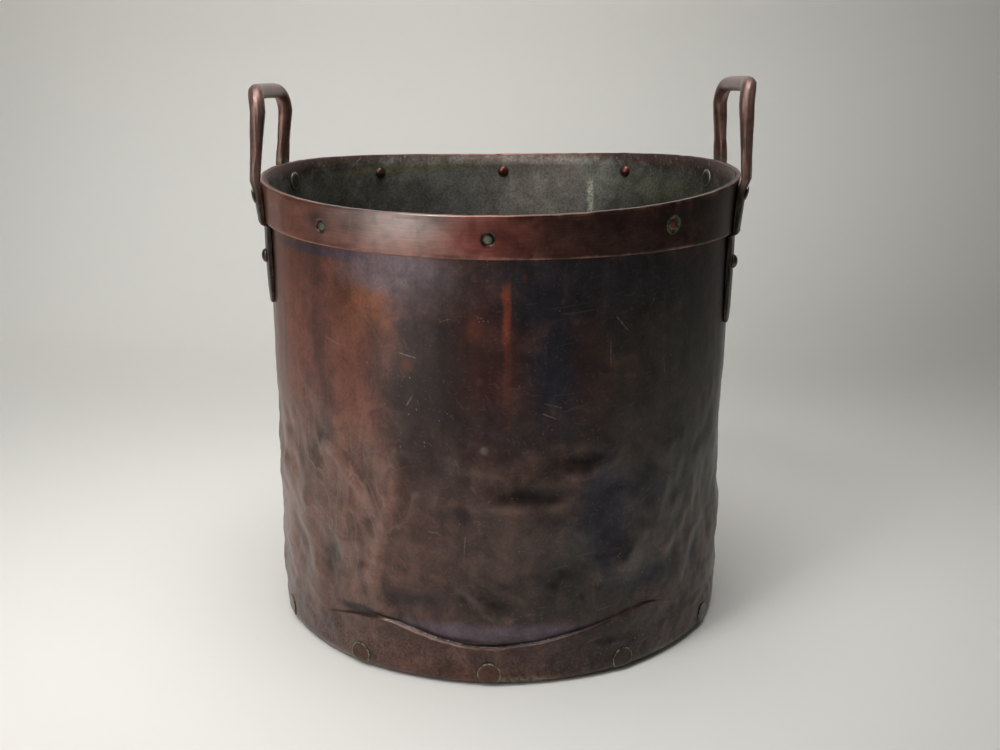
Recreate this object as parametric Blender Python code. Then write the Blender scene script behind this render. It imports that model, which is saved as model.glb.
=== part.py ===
# Open copper brew kettle: riveted wall and base, hooped rim, two forged loop handles.
# Metres, +Z up. The origin is on the floor at the middle of the standing ring and the
# front faces -Y. Azimuth runs from the front, positive towards +X.

import math

import bmesh
import bpy
import numpy as np
from mathutils import Euler, Matrix, Vector

# Driving dimensions of the wall
BODY_RADIUS = 0.218          # outside of the wall
SHEET = 0.002                # copper sheet of the wall
RIM_HEIGHT = 0.421           # mean height of the hoop's top edge
RIM_FLARE = 0.0024           # how far the wall opens out behind the hoop
RIM_SETBACK = 0.0006         # the wall's raw edge below the hoop's top
BASE_CORNER = 0.0105         # outside radius where the wall turns under
LIP_WIDTH = 0.012            # flat ring that the kettle stands on

# Driving dimensions of the base pan
PAN_SHEET = 0.002
PAN_FLANGE = 0.026           # height of the pan's upturned edge

# Driving dimensions of the hoop
HOOP_HEIGHT = 0.0395         # mean height
HOOP_THICKNESS = 0.0042
HOOP_ROUND = 0.0014          # rounding of its outer edges
RIM_SADDLE = 0.0046          # the rim dips at front and back
RIM_TILT = 0.0014            # and rises to the right
RIM_WAVE = 0.0011            # with a three-lobed wave
HOOP_EDGE_TILT = 0.0056      # the lower edge falls to the right
HOOP_EDGE_TWIST = 0.0019     # with a two-lobed twist

# Driving dimensions of the handles
HANDLE_AZIMUTH = 91.1        # middle of each handle, degrees either side of the front
LEG_SPACING = 0.130          # between leg centre lines, along the wall
GRIP_DIAMETER = 0.0138       # round bar of the loop
LOOP_CORNER = 0.019          # bend radius of the bar
LOOP_FALL = 0.008            # the loop's rear end is lower than its front end
SHOULDER_LENGTH = 0.022      # leg above the rim that changes from flat to round
RIM_LEG_WIDTH = 0.0175       # leg beside the rim
RIM_LEG_THICKNESS = 0.0084
SHOULDER_WIDTH = 0.021       # leg at its upper rivet
SHOULDER_THICKNESS = 0.0064
STRAP_WIDTH = 0.025          # leg below the hoop
STRAP_THICKNESS = 0.0046
FOOT_WIDTH = 0.012           # forged tip of the leg
FOOT_THICKNESS = 0.0026
FOOT_TAPER = 0.014           # length of the rounded tip
JOGGLE_LENGTH = 0.011        # height over which the leg steps out to the hoop
JOGGLE_MARGIN = 0.0016       # full step reached this far below the hoop
FRONT_RIVET_DROP = 0.0125    # upper rivets below the rim
REAR_RIVET_DROP = 0.0186
LEFT_LOOP_RISE = 0.0845      # top of the loop above the mean rim
LEFT_REACH = 0.0062          # bar centre outside the wall's face at the top of the loop
LEFT_STRAP_LENGTH = 0.0695   # leg below the hoop's mean lower edge
LEFT_STRAP_RIVET = 0.0265    # lower rivets below the hoop's mean lower edge
LEFT_STAND_OFF = 0.0004      # gap between leg and hoop at the rim
RIGHT_LOOP_RISE = 0.0909
RIGHT_REACH = 0.0105
RIGHT_STRAP_LENGTH = 0.0885
RIGHT_STRAP_RIVET = 0.032
RIGHT_STAND_OFF = 0.0018

# Driving dimensions of the rivets
SHANK_RADIUS = 0.004
HOOP_RIVET_DROP = 0.019      # below the rim
HOOP_RIVET_AZIMUTHS = (-41.5, -2.0, 40.5, 142.0, 179.5, -143.0)
HOOP_HEAD_RADIUS = 0.006     # domed head inside
HOOP_HEAD_HEIGHT = 0.0042
TAIL_SPREAD = 0.001          # spread of the countersunk tail over the shank
TAIL_DEPTH = 0.0022          # depth of the countersink
TAIL_SINK = 0.0008           # the tail's end below the hoop's face
HANDLE_HEAD_RADIUS = 0.0064  # domed head outside
HANDLE_HEAD_HEIGHT = 0.0046
HANDLE_TAIL_RADIUS = 0.009   # flat tail inside
HANDLE_TAIL_HEIGHT = 0.0011
BASE_RIVET_COUNT = 11
BASE_RIVET_START = -2.2
BASE_RIVET_HEIGHT = 0.013
BASE_HEAD_RADIUS = 0.0105    # flat head hammered round the corner
BASE_HEAD_HEIGHT = 0.0012
BASE_TAIL_RADIUS = 0.0065
BASE_TAIL_HEIGHT = 0.0018

# The long crease low on the front, and the hollow above it
CREASE_HEIGHT = 0.036
CREASE_RISE = 0.022          # how much higher the crease is at its ends
CREASE_HALF_SPAN = 34.0      # degrees
CREASE_DEPTH = 0.006
CREASE_LOWER_REACH = 0.010
CREASE_UPPER_REACH = 0.075
# Other dents: azimuth, height, half width, half height, depth
DENTS = (
    (-62.0, 0.100, 0.045, 0.040, 0.0035),
    (-50.0, 0.190, 0.050, 0.050, 0.0020),
    (62.0, 0.120, 0.055, 0.060, 0.0030),
    (88.0, 0.190, 0.060, 0.070, 0.0030),
    (14.0, 0.160, 0.055, 0.045, 0.0018),
    (135.0, 0.110, 0.060, 0.050, 0.0035),
    (-150.0, 0.140, 0.070, 0.060, 0.0030),
    (175.0, 0.080, 0.050, 0.035, 0.0025),
)
DENT_MARGIN = 0.0015         # the wall stays true up to this far above the pan's edge
DENT_CEILING = 0.265         # and above this, behind the handles

# Fits and facets
CLEARANCE = 0.0003           # between pieces that touch
FACETS = 48                  # round the kettle
CORNER_STEPS = 4             # round the base corner
WALL_ROWS = 10
ROW_CROWDING = 1.4           # rows crowd towards the foot
FLARE_ROWS = 2
EDGE_STEPS = 2
RIVET_SIDES = 10
SECTION_SIDES = 10
TIP_ROWS = (0.0, 0.15, 0.4, 0.7, 1.0)  # shares of the leg's tip
TIP_THINNING = 0.8           # strap thickness where the tip begins
FLAT_SECTION = 6.0           # squareness of the strap
ROUND_SECTION = 2.0          # and of the bar
DOME_ROWS = (0, 20, 45, 75)  # degrees up a domed head
TAIL_CROWN = 0.8             # flat top of a tail, as a share of its radius
HEAD_CROWNS = (0.85, 0.45)   # rows on top of a base rivet's head
HOLE_DEPTH = 3               # a hole's reach each way, in sheet thicknesses

# Values that follow from the driving dimensions
HOOP_EDGE = RIM_HEIGHT - HOOP_HEIGHT
DENT_FLOOR = PAN_FLANGE + DENT_MARGIN
CORNER_CENTRE = BODY_RADIUS - BASE_CORNER
INNER_RADIUS = BODY_RADIUS - SHEET
PAN_RADIUS = INNER_RADIUS - CLEARANCE
PAN_CORNER = PAN_RADIUS - CORNER_CENTRE
PAN_INNER_CORNER = PAN_CORNER - PAN_SHEET
FACET_SHRINK = math.cos(math.pi / FACETS)
CORNER_SHRINK = math.cos(math.pi / 4 / CORNER_STEPS)
HOLE_RADIUS = SHANK_RADIUS + CLEARANCE
FLARE_TILT = math.atan2(RIM_FLARE, HOOP_HEIGHT)
LEG_TURN = LEG_SPACING / 2 / BODY_RADIUS
LEFT_HANDLE = {
    "side": -1, "top": RIM_HEIGHT + LEFT_LOOP_RISE, "reach": LEFT_REACH, "stand_off": LEFT_STAND_OFF,
    "foot": HOOP_EDGE - LEFT_STRAP_LENGTH, "rivet": HOOP_EDGE - LEFT_STRAP_RIVET}
RIGHT_HANDLE = {
    "side": 1, "top": RIM_HEIGHT + RIGHT_LOOP_RISE, "reach": RIGHT_REACH, "stand_off": RIGHT_STAND_OFF,
    "foot": HOOP_EDGE - RIGHT_STRAP_LENGTH, "rivet": HOOP_EDGE - RIGHT_STRAP_RIVET}
AZIMUTHS = np.arange(FACETS) * 2 * math.pi / FACETS

COPPER = {"colour": (0.11, 0.048, 0.035), "roughness": 0.42}
HOOP_COPPER = {"colour": (0.18, 0.072, 0.052), "roughness": 0.36}
HANDLE_COPPER = {"colour": (0.18, 0.095, 0.072), "roughness": 0.34}
TINNED = {"colour": (0.17, 0.165, 0.14), "roughness": 0.55}
RIVET_COPPER = {"colour": (0.22, 0.10, 0.065), "roughness": 0.40}
GREEN_RIVET = {"colour": (0.14, 0.085, 0.058), "roughness": 0.60}


def clear_scene():
    for item in list(bpy.data.objects):
        bpy.data.objects.remove(item, do_unlink=True)


def copper_material(name, finish):
    material = bpy.data.materials.new(name)
    material.use_nodes = True
    shader = material.node_tree.nodes["Principled BSDF"]
    shader.inputs["Base Color"].default_value = (*finish["colour"], 1.0)
    shader.inputs["Roughness"].default_value = finish["roughness"]
    shader.inputs["Metallic"].default_value = 1.0
    return material


def polar(radius, azimuth, height):
    # Any mix of numbers and arrays, azimuth in radians
    radius, azimuth, height = np.broadcast_arrays(radius, azimuth, height)
    return np.stack([radius * np.sin(azimuth), -radius * np.cos(azimuth), height], axis=-1)


def rim_top(azimuth):
    saddle = -RIM_SADDLE * np.cos(2 * azimuth) + RIM_TILT * np.sin(azimuth)
    return RIM_HEIGHT + saddle + RIM_WAVE * np.cos(3 * azimuth)


def hoop_bottom(azimuth):
    return HOOP_EDGE - HOOP_EDGE_TILT * np.sin(azimuth) + HOOP_EDGE_TWIST * np.sin(2 * azimuth)


def flare(height):
    return RIM_FLARE * np.maximum(height - HOOP_EDGE, 0) / HOOP_HEIGHT


def smooth_step(value):
    value = np.clip(value, 0, 1)
    return value * value * (3 - 2 * value)


def dent_depth(azimuth, height):
    # Sum of bell-shaped dents and one hollow that ends below in a sharp crease
    degrees = (np.degrees(azimuth) + 180) % 360 - 180
    span = degrees / CREASE_HALF_SPAN
    above = height - CREASE_HEIGHT - CREASE_RISE * np.minimum(span ** 2, 1)
    reach = np.where(above > 0, CREASE_UPPER_REACH, CREASE_LOWER_REACH)
    depth = CREASE_DEPTH * np.exp(-(above / reach) ** 2 - span ** 4 / 4)
    for middle, level, half_width, half_height, deepest in DENTS:
        turn = (degrees - middle + 180) % 360 - 180
        across = np.radians(turn) * BODY_RADIUS / half_width
        depth = depth + deepest * np.exp(-across ** 2 - ((height - level) / half_height) ** 2)
    fade_in = smooth_step((height - DENT_FLOOR) / CREASE_LOWER_REACH)
    fade_out = smooth_step((DENT_CEILING - height) / CREASE_UPPER_REACH)
    return depth * fade_in * fade_out


def wall_face(azimuth, height):
    return BODY_RADIUS + flare(height) - dent_depth(azimuth, height)


def corner_angles():
    return np.linspace(0, math.pi / 2, CORNER_STEPS + 1)


def link_object(name, mesh, material):
    item = bpy.data.objects.new(name, mesh)
    bpy.context.scene.collection.objects.link(item)
    if material is not None:
        mesh.materials.append(material)
        mesh.shade_smooth()
        mesh.set_sharp_from_angle(angle=math.radians(35))
    return item


def closed_mesh(name, points, faces):
    mesh = bpy.data.meshes.new(name)
    mesh.from_pydata([tuple(point) for point in points], [], faces)
    shape = bmesh.new()
    shape.from_mesh(mesh)
    bmesh.ops.triangulate(shape, faces=shape.faces)
    bmesh.ops.recalc_face_normals(shape, faces=shape.faces)
    shape.to_mesh(mesh)
    shape.free()
    return mesh


def ring_faces(rings, sides, wrap_rings):
    # Quads between successive rings of points, each ring closed on itself
    faces = []
    for ring in range(rings if wrap_rings else rings - 1):
        here = ring * sides
        there = ((ring + 1) % rings) * sides
        for side in range(sides):
            after = (side + 1) % sides
            faces.append((here + side, here + after, there + after, there + side))
    return faces


def hooped_mesh(name, profiles):
    # A closed profile carried round the kettle: profiles[azimuth, point, xyz]
    count, sides, _ = profiles.shape
    return closed_mesh(name, profiles.reshape(-1, 3), ring_faces(count, sides, True))


def lofted_mesh(name, rings):
    # Sections joined in a row, with both ends closed
    count, sides, _ = rings.shape
    faces = ring_faces(count, sides, False)
    faces.append(tuple(range(sides)))
    faces.append(tuple(range((count - 1) * sides, count * sides)))
    return closed_mesh(name, rings.reshape(-1, 3), faces)


def turned_mesh(name, profile):
    # Radius and height pairs, bottom to top, turned about local Z
    turns = np.arange(RIVET_SIDES) * 2 * math.pi / RIVET_SIDES
    rings = [[(r * math.cos(t), r * math.sin(t), h) for t in turns] for r, h in profile]
    return lofted_mesh(name, np.array(rings))


def facing_out(radius, azimuth, height, tilt):
    # Frame with its Z square to the wall, pointing out of the kettle
    place = Vector(polar(radius, azimuth, height).tolist())
    turn = Euler((0, math.pi / 2 + tilt, azimuth - math.pi / 2))
    return Matrix.Translation(place) @ turn.to_matrix().to_4x4()


def hoop_rivet_frames():
    frames = []
    for degrees in HOOP_RIVET_AZIMUTHS:
        azimuth = math.radians(degrees)
        height = float(rim_top(azimuth)) - HOOP_RIVET_DROP
        frames.append(facing_out(BODY_RADIUS + float(flare(height)), azimuth, height, FLARE_TILT))
    return frames


def handle_legs(handle):
    # Each leg's place along the wall, +1 towards the handle's rear, and its two rivets' heights
    legs = []
    for word, place, drop in (("front", -1, FRONT_RIVET_DROP), ("rear", 1, REAR_RIVET_DROP)):
        azimuth = handle["side"] * (math.radians(HANDLE_AZIMUTH) + place * LEG_TURN)
        legs.append({"word": word, "place": place, "azimuth": azimuth,
                     "shoulder": float(rim_top(azimuth)) - drop, "strap": handle["rivet"]})
    return legs


def shoulder_rivet_frame(leg):
    radius = BODY_RADIUS + float(flare(leg["shoulder"]))
    return facing_out(radius, leg["azimuth"], leg["shoulder"], FLARE_TILT)


def strap_rivet_frame(leg):
    return facing_out(BODY_RADIUS, leg["azimuth"], leg["strap"], 0.0)


def base_rivet_turns():
    return [math.radians(BASE_RIVET_START) + index * 2 * math.pi / BASE_RIVET_COUNT
            for index in range(BASE_RIVET_COUNT)]


def base_rivet_frames():
    return [facing_out(BODY_RADIUS, turn, BASE_RIVET_HEIGHT, 0.0) for turn in base_rivet_turns()]


def seat_inside(head_radius):
    # How far inside the wall's face a flat head of this radius clears the curved wall
    wall = INNER_RADIUS * FACET_SHRINK - CLEARANCE
    return BODY_RADIUS - math.sqrt(wall ** 2 - head_radius ** 2)


def cut_holes(item, name, cutters):
    # Each cutter is a turned profile and the frame it stands in
    joined = bmesh.new()
    for profile, frame in cutters:
        mesh = turned_mesh(name, profile)
        mesh.transform(frame)
        joined.from_mesh(mesh)
        bpy.data.meshes.remove(mesh)
    holes = bpy.data.meshes.new(name)
    joined.to_mesh(holes)
    joined.free()
    cutter = link_object(name, holes, None)
    cutter.hide_render = True
    cutter.display_type = "WIRE"
    cut = item.modifiers.new("rivet holes", "BOOLEAN")
    cut.operation = "DIFFERENCE"
    cut.solver = "EXACT"
    cut.object = cutter


def plain_hole(inside, outside):
    return ((HOLE_RADIUS, -inside), (HOLE_RADIUS, outside))


def through_wall():
    return plain_hole(HOLE_DEPTH * SHEET, HOLE_DEPTH * SHEET)


# Wall

def wall_profiles():
    angles = corner_angles()
    lip = CORNER_CENTRE - LIP_WIDTH
    rows = DENT_FLOOR + (HOOP_EDGE - DENT_FLOOR) * np.linspace(0, 1, WALL_ROWS + 1) ** ROW_CROWDING
    profiles = []
    for azimuth in AZIMUTHS:
        top = rim_top(azimuth) - RIM_SETBACK
        upper = np.linspace(HOOP_EDGE, top, FLARE_ROWS + 1)[1:]
        heights = np.concatenate([rows, upper])
        face = wall_face(azimuth, heights)
        outer_corner = CORNER_CENTRE + BASE_CORNER * np.sin(angles)
        inner_corner = CORNER_CENTRE + (BASE_CORNER - SHEET) * np.sin(angles)
        radii = np.concatenate([[lip], outer_corner, face, face[::-1] - SHEET, inner_corner[::-1], [lip]])
        levels = np.concatenate([
            [0.0], BASE_CORNER - BASE_CORNER * np.cos(angles), heights,
            heights[::-1], (BASE_CORNER - (BASE_CORNER - SHEET) * np.cos(angles))[::-1], [SHEET]])
        profiles.append(polar(radii, azimuth, levels))
    return np.array(profiles)


def build_body_shell():
    mesh = hooped_mesh("body_shell", wall_profiles())
    shell = link_object("body_shell", mesh, copper_material("body copper", COPPER))
    frames = hoop_rivet_frames() + base_rivet_frames()
    for handle in (LEFT_HANDLE, RIGHT_HANDLE):
        for leg in handle_legs(handle):
            frames += [shoulder_rivet_frame(leg), strap_rivet_frame(leg)]
    cut_holes(shell, "body_shell_holes", [(through_wall(), frame) for frame in frames])


# Base pan

def pan_profile():
    # Radius and height pairs from the middle of the underside round to the middle of the floor
    angles = corner_angles()
    outer = [(CORNER_CENTRE + PAN_CORNER * math.sin(a), BASE_CORNER - PAN_CORNER * math.cos(a))
             for a in angles]
    inner = [(CORNER_CENTRE + PAN_INNER_CORNER * math.sin(a),
              BASE_CORNER - PAN_INNER_CORNER * math.cos(a)) for a in angles]
    edge = [(PAN_RADIUS, PAN_FLANGE), (PAN_RADIUS - PAN_SHEET, PAN_FLANGE)]
    return outer + edge + inner[::-1]


def build_base_pan():
    rings = np.array([polar(radius, AZIMUTHS, height) for radius, height in pan_profile()])
    mesh = lofted_mesh("base_pan", rings)
    pan = link_object("base_pan", mesh, copper_material("tinned copper", TINNED))
    hole = plain_hole(HOLE_DEPTH * (SHEET + PAN_SHEET), 0.0)
    cut_holes(pan, "base_pan_holes", [(hole, frame) for frame in base_rivet_frames()])


# Hoop

def hoop_profile(azimuth):
    top = rim_top(azimuth)
    bottom = hoop_bottom(azimuth)
    steps = np.linspace(0, math.pi / 2, EDGE_STEPS + 1)
    bulge = HOOP_THICKNESS - HOOP_ROUND
    lower_out = bulge + HOOP_ROUND * np.sin(steps)
    lower_up = bottom + HOOP_ROUND - HOOP_ROUND * np.cos(steps)
    upper_out = bulge + HOOP_ROUND * np.cos(steps)
    upper_up = top - HOOP_ROUND + HOOP_ROUND * np.sin(steps)
    out = np.concatenate([[0.0], lower_out, upper_out, [0.0]])
    height = np.concatenate([[bottom], lower_up, upper_up, [top]])
    return polar(BODY_RADIUS + CLEARANCE + flare(height) + out, azimuth, height)


def build_rim_hoop():
    mesh = hooped_mesh("rim_hoop", np.array([hoop_profile(azimuth) for azimuth in AZIMUTHS]))
    hoop = link_object("rim_hoop", mesh, copper_material("hoop copper", HOOP_COPPER))
    face = CLEARANCE + HOOP_THICKNESS
    recess = HOLE_RADIUS + TAIL_SPREAD
    sunk = ((HOLE_RADIUS, -SHEET), (HOLE_RADIUS, face - TAIL_DEPTH), (recess, face), (recess, 2 * face))
    straight = plain_hole(SHEET, 2 * face)
    cutters = [(sunk, frame) for frame in hoop_rivet_frames()]
    for handle in (LEFT_HANDLE, RIGHT_HANDLE):
        cutters += [(straight, shoulder_rivet_frame(leg)) for leg in handle_legs(handle)]
    cut_holes(hoop, "rim_hoop_holes", cutters)


# Handles

def leg_sections(handle, leg):
    # Height, centre radius, thickness, width and squareness of one leg, foot to bend
    rim = float(rim_top(leg["azimuth"]))
    bend = handle["top"] - GRIP_DIAMETER / 2 - LOOP_CORNER
    tip = handle["foot"] + FOOT_TAPER
    step_end = float(hoop_bottom(leg["azimuth"])) - JOGGLE_MARGIN
    step_start = step_end - JOGGLE_LENGTH
    heights = np.concatenate([
        handle["foot"] + FOOT_TAPER * np.array(TIP_ROWS),
        np.linspace(tip, step_start, 4)[1:],
        np.linspace(step_start, step_end, 4)[1:],
        np.linspace(step_end, rim, 4)[1:],
        np.linspace(rim, bend, 5)[1:]])
    stops = (handle["foot"], tip, leg["strap"], step_start, leg["shoulder"], rim, bend)
    thickness = np.interp(heights, stops, (
        FOOT_THICKNESS, TIP_THINNING * STRAP_THICKNESS, STRAP_THICKNESS, STRAP_THICKNESS,
        SHOULDER_THICKNESS, RIM_LEG_THICKNESS, GRIP_DIAMETER))
    width = np.interp(heights, stops[1:], (
        STRAP_WIDTH, STRAP_WIDTH, STRAP_WIDTH, SHOULDER_WIDTH, RIM_LEG_WIDTH, GRIP_DIAMETER))
    share = np.clip((heights - handle["foot"]) / FOOT_TAPER, 0, 1)
    width = np.minimum(width, FOOT_WIDTH + (STRAP_WIDTH - FOOT_WIDTH) * np.sqrt(1 - (1 - share) ** 2))
    squareness = np.interp(heights, (leg["shoulder"], rim + SHOULDER_LENGTH), (FLAT_SECTION, ROUND_SECTION))
    step = smooth_step((heights - step_start) / JOGGLE_LENGTH)
    lift = handle["stand_off"] * smooth_step((heights - leg["shoulder"]) / (rim - leg["shoulder"]))
    face = BODY_RADIUS + CLEARANCE + flare(heights) + (HOOP_THICKNESS + CLEARANCE) * step + lift
    rim_centre = np.interp(rim, heights, face + thickness / 2)
    lean = np.clip((heights - rim) / (bend - rim), 0, 1)
    above_rim = rim_centre + (BODY_RADIUS + handle["reach"] - rim_centre) * lean
    centre = np.where(heights > rim, above_rim, face + thickness / 2)
    return heights, centre, thickness, width, squareness


def handle_rings(handle):
    # Round bar bent into a loop, drawn down to a strap at each leg, then wrapped on the wall
    middle = math.radians(handle["side"] * HANDLE_AZIMUTH)
    half = LEG_SPACING / 2
    bend = handle["top"] - GRIP_DIAMETER / 2 - LOOP_CORNER
    angles = np.linspace(0, math.pi / 2, CORNER_STEPS + 1)[1:]
    phase = np.arange(SECTION_SIDES) * 2 * math.pi / SECTION_SIDES
    bar = np.full(len(angles), GRIP_DIAMETER)
    halves = []
    for leg in handle_legs(handle):
        heights, centre, thickness, width, squareness = leg_sections(handle, leg)
        across = np.concatenate([np.full(len(heights), half),
                                 half - LOOP_CORNER * (1 - np.cos(angles))])
        levels = np.concatenate([heights, bend + LOOP_CORNER * np.sin(angles)])
        centre = np.concatenate([centre, np.full(len(angles), BODY_RADIUS + handle["reach"])])
        thickness = np.concatenate([thickness, bar])[:, None]
        width = np.concatenate([width, bar])[:, None]
        power = 2 / np.concatenate([squareness, np.full(len(angles), ROUND_SECTION)])[:, None]
        turn = np.concatenate([np.zeros(len(heights)), angles])[:, None]
        out = np.sign(np.cos(phase)) * np.abs(np.cos(phase)) ** power * thickness / 2
        side_step = np.sign(np.sin(phase)) * np.abs(np.sin(phase)) ** power * width / 2
        along = leg["place"] * (across[:, None] + side_step * np.cos(turn))
        rim = float(rim_top(leg["azimuth"]))
        fall = LOOP_FALL * smooth_step((levels - rim) / (bend - rim))[:, None] * along / LEG_SPACING
        level = levels[:, None] + side_step * np.sin(turn) - fall
        halves.append(polar(centre[:, None] + out, middle + handle["side"] * along / BODY_RADIUS, level))
    return np.concatenate([halves[0], halves[1][::-1]])


def build_handle(name, handle):
    mesh = lofted_mesh(name, handle_rings(handle))
    item = link_object(name, mesh, copper_material(name + " copper", HANDLE_COPPER))
    hole = plain_hole(SHEET, 2 * (HOOP_THICKNESS + RIM_LEG_THICKNESS))
    cutters = []
    for leg in handle_legs(handle):
        cutters += [(hole, shoulder_rivet_frame(leg)), (hole, strap_rivet_frame(leg))]
    cut_holes(item, name + "_holes", cutters)


# Rivets

def place(item, frame):
    item.matrix_world = frame


def build_hoop_rivets():
    seat = seat_inside(HOOP_HEAD_RADIUS)
    end = CLEARANCE + HOOP_THICKNESS - TAIL_SINK
    root = CLEARANCE + HOOP_THICKNESS - TAIL_DEPTH
    spread = TAIL_SPREAD * (TAIL_DEPTH - TAIL_SINK) / TAIL_DEPTH
    profile = [(HOOP_HEAD_RADIUS * math.cos(a), -seat - HOOP_HEAD_HEIGHT * math.sin(a))
               for a in np.radians(DOME_ROWS[::-1])]
    profile += [(SHANK_RADIUS, -seat), (SHANK_RADIUS, root), (SHANK_RADIUS + spread, end)]
    material = copper_material("hoop rivet copper", RIVET_COPPER)
    for number, frame in enumerate(hoop_rivet_frames(), 1):
        name = "hoop_rivet_%d" % number
        place(link_object(name, turned_mesh(name, profile), material), frame)


def handle_rivet_profile(grip):
    # Flat tail inside, shank, domed head standing on the outside of the leg
    seat = seat_inside(HANDLE_TAIL_RADIUS)
    head = grip + CLEARANCE
    profile = [(TAIL_CROWN * HANDLE_TAIL_RADIUS, -seat - HANDLE_TAIL_HEIGHT),
               (HANDLE_TAIL_RADIUS, -seat - HANDLE_TAIL_HEIGHT / 2), (HANDLE_TAIL_RADIUS, -seat),
               (SHANK_RADIUS, -seat), (SHANK_RADIUS, head)]
    profile += [(HANDLE_HEAD_RADIUS * math.cos(a), head + HANDLE_HEAD_HEIGHT * math.sin(a))
                for a in np.radians(DOME_ROWS)]
    return profile


def build_handle_rivets(name, handle):
    material = copper_material(name + " rivet copper", RIVET_COPPER)
    for leg in handle_legs(handle):
        heights, centre, thickness, _, _ = leg_sections(handle, leg)
        frames = {"shoulder": shoulder_rivet_frame(leg), "strap": strap_rivet_frame(leg)}
        for kind, frame in frames.items():
            under_head = leg[kind] + HANDLE_HEAD_RADIUS * np.array([-1.0, 0.0, 1.0])
            grip = float(np.max(np.interp(under_head, heights, centre + thickness / 2)))
            rivet = "%s_%s_%s_rivet" % (name, leg["word"], kind)
            profile = handle_rivet_profile(grip - math.hypot(*frame.translation.xy))
            place(link_object(rivet, turned_mesh(rivet, profile), material), frame)


def round_corner(radius, corner, along, across, offset):
    # Point on the wall's vertical section: along runs up from the corner's upper end
    bend = np.maximum(-along, 0) / BASE_CORNER
    level = BASE_CORNER + np.maximum(along, 0) - (corner + offset) * np.sin(bend)
    reach = radius - corner + (corner + offset) * np.cos(bend)
    return polar(reach, across / BODY_RADIUS, level)


def base_rivet_rings():
    # Tail inside the pan, shank through both sheets, flat head following the corner
    phase = np.arange(RIVET_SIDES) * 2 * math.pi / RIVET_SIDES
    rise = BASE_RIVET_HEIGHT - BASE_CORNER
    tail_face = (PAN_RADIUS - PAN_SHEET) * FACET_SHRINK - CLEARANCE
    tail_corner = PAN_INNER_CORNER * CORNER_SHRINK - CLEARANCE

    def outside(radius, offset):
        along = rise - radius * np.cos(phase)
        return round_corner(BODY_RADIUS, BASE_CORNER, along, radius * np.sin(phase), offset)

    def inside(radius, offset):
        along = rise - radius * np.cos(phase)
        return round_corner(tail_face, tail_corner, along, radius * np.sin(phase), -offset)

    def shank(reach):
        level = BASE_RIVET_HEIGHT - SHANK_RADIUS * np.cos(phase)
        return polar(reach, SHANK_RADIUS * np.sin(phase) / reach, level)

    rings = [inside(TAIL_CROWN * BASE_TAIL_RADIUS, BASE_TAIL_HEIGHT),
             inside(BASE_TAIL_RADIUS, BASE_TAIL_HEIGHT / 2),
             inside(BASE_TAIL_RADIUS, 0.0), shank(tail_face)]
    rings += [outside(radius, CLEARANCE) for radius in np.linspace(SHANK_RADIUS, BASE_HEAD_RADIUS, 4)]
    rings += [outside(BASE_HEAD_RADIUS, BASE_HEAD_HEIGHT / 2)]
    rings += [outside(share * BASE_HEAD_RADIUS, BASE_HEAD_HEIGHT) for share in HEAD_CROWNS]
    return np.array(rings)


def build_base_rivets():
    material = copper_material("base rivet copper", GREEN_RIVET)
    rings = base_rivet_rings()
    for number, turn in enumerate(base_rivet_turns(), 1):
        name = "base_rivet_%02d" % number
        rivet = link_object(name, lofted_mesh(name, rings), material)
        rivet.rotation_euler = (0, 0, turn)


def main():
    clear_scene()
    build_body_shell()
    build_base_pan()
    build_rim_hoop()
    build_handle("handle_left", LEFT_HANDLE)
    build_handle("handle_right", RIGHT_HANDLE)
    build_hoop_rivets()
    build_handle_rivets("handle_left", LEFT_HANDLE)
    build_handle_rivets("handle_right", RIGHT_HANDLE)
    build_base_rivets()


main()
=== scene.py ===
import math

import bpy
import numpy as np
from mathutils import Matrix, Vector


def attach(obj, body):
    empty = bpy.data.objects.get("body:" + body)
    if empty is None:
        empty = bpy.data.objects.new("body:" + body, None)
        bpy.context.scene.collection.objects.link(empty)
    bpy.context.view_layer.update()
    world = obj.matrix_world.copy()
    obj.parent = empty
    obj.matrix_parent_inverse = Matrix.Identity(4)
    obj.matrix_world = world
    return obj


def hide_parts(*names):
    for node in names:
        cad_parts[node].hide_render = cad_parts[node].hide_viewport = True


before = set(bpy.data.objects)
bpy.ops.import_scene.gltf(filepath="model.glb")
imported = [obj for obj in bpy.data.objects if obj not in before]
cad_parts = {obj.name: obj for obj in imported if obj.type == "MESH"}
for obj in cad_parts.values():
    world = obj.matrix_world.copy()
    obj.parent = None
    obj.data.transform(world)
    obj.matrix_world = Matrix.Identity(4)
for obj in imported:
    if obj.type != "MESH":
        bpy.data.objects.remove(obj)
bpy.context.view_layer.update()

print("frame loaded:", len(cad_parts), "nodes")
# room between pieces that touch
clearance = 0.0003


# Mesh helpers

def gridFaces(rows, columns, closeRows, closeColumns):
    # quads between neighbouring grid points, wrapping where a direction is closed
    row = np.arange(rows if closeRows else rows - 1)[:, None]
    column = np.arange(columns if closeColumns else columns - 1)[None, :]
    nextRow, nextColumn = (row + 1) % rows, (column + 1) % columns
    corners = (row * columns + column, row * columns + nextColumn,
               nextRow * columns + nextColumn, nextRow * columns + column)
    return np.stack(corners, axis=-1).reshape(-1, 4)


def enclosedVolume(points, faces):
    # sum of signed tetrahedra over both halves of each quad
    a, b, c, d = (points[faces[:, corner]] for corner in range(4))
    return (np.einsum("ij,ij->i", a, np.cross(b, c)) + np.einsum("ij,ij->i", a, np.cross(c, d))).sum() / 6


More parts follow.
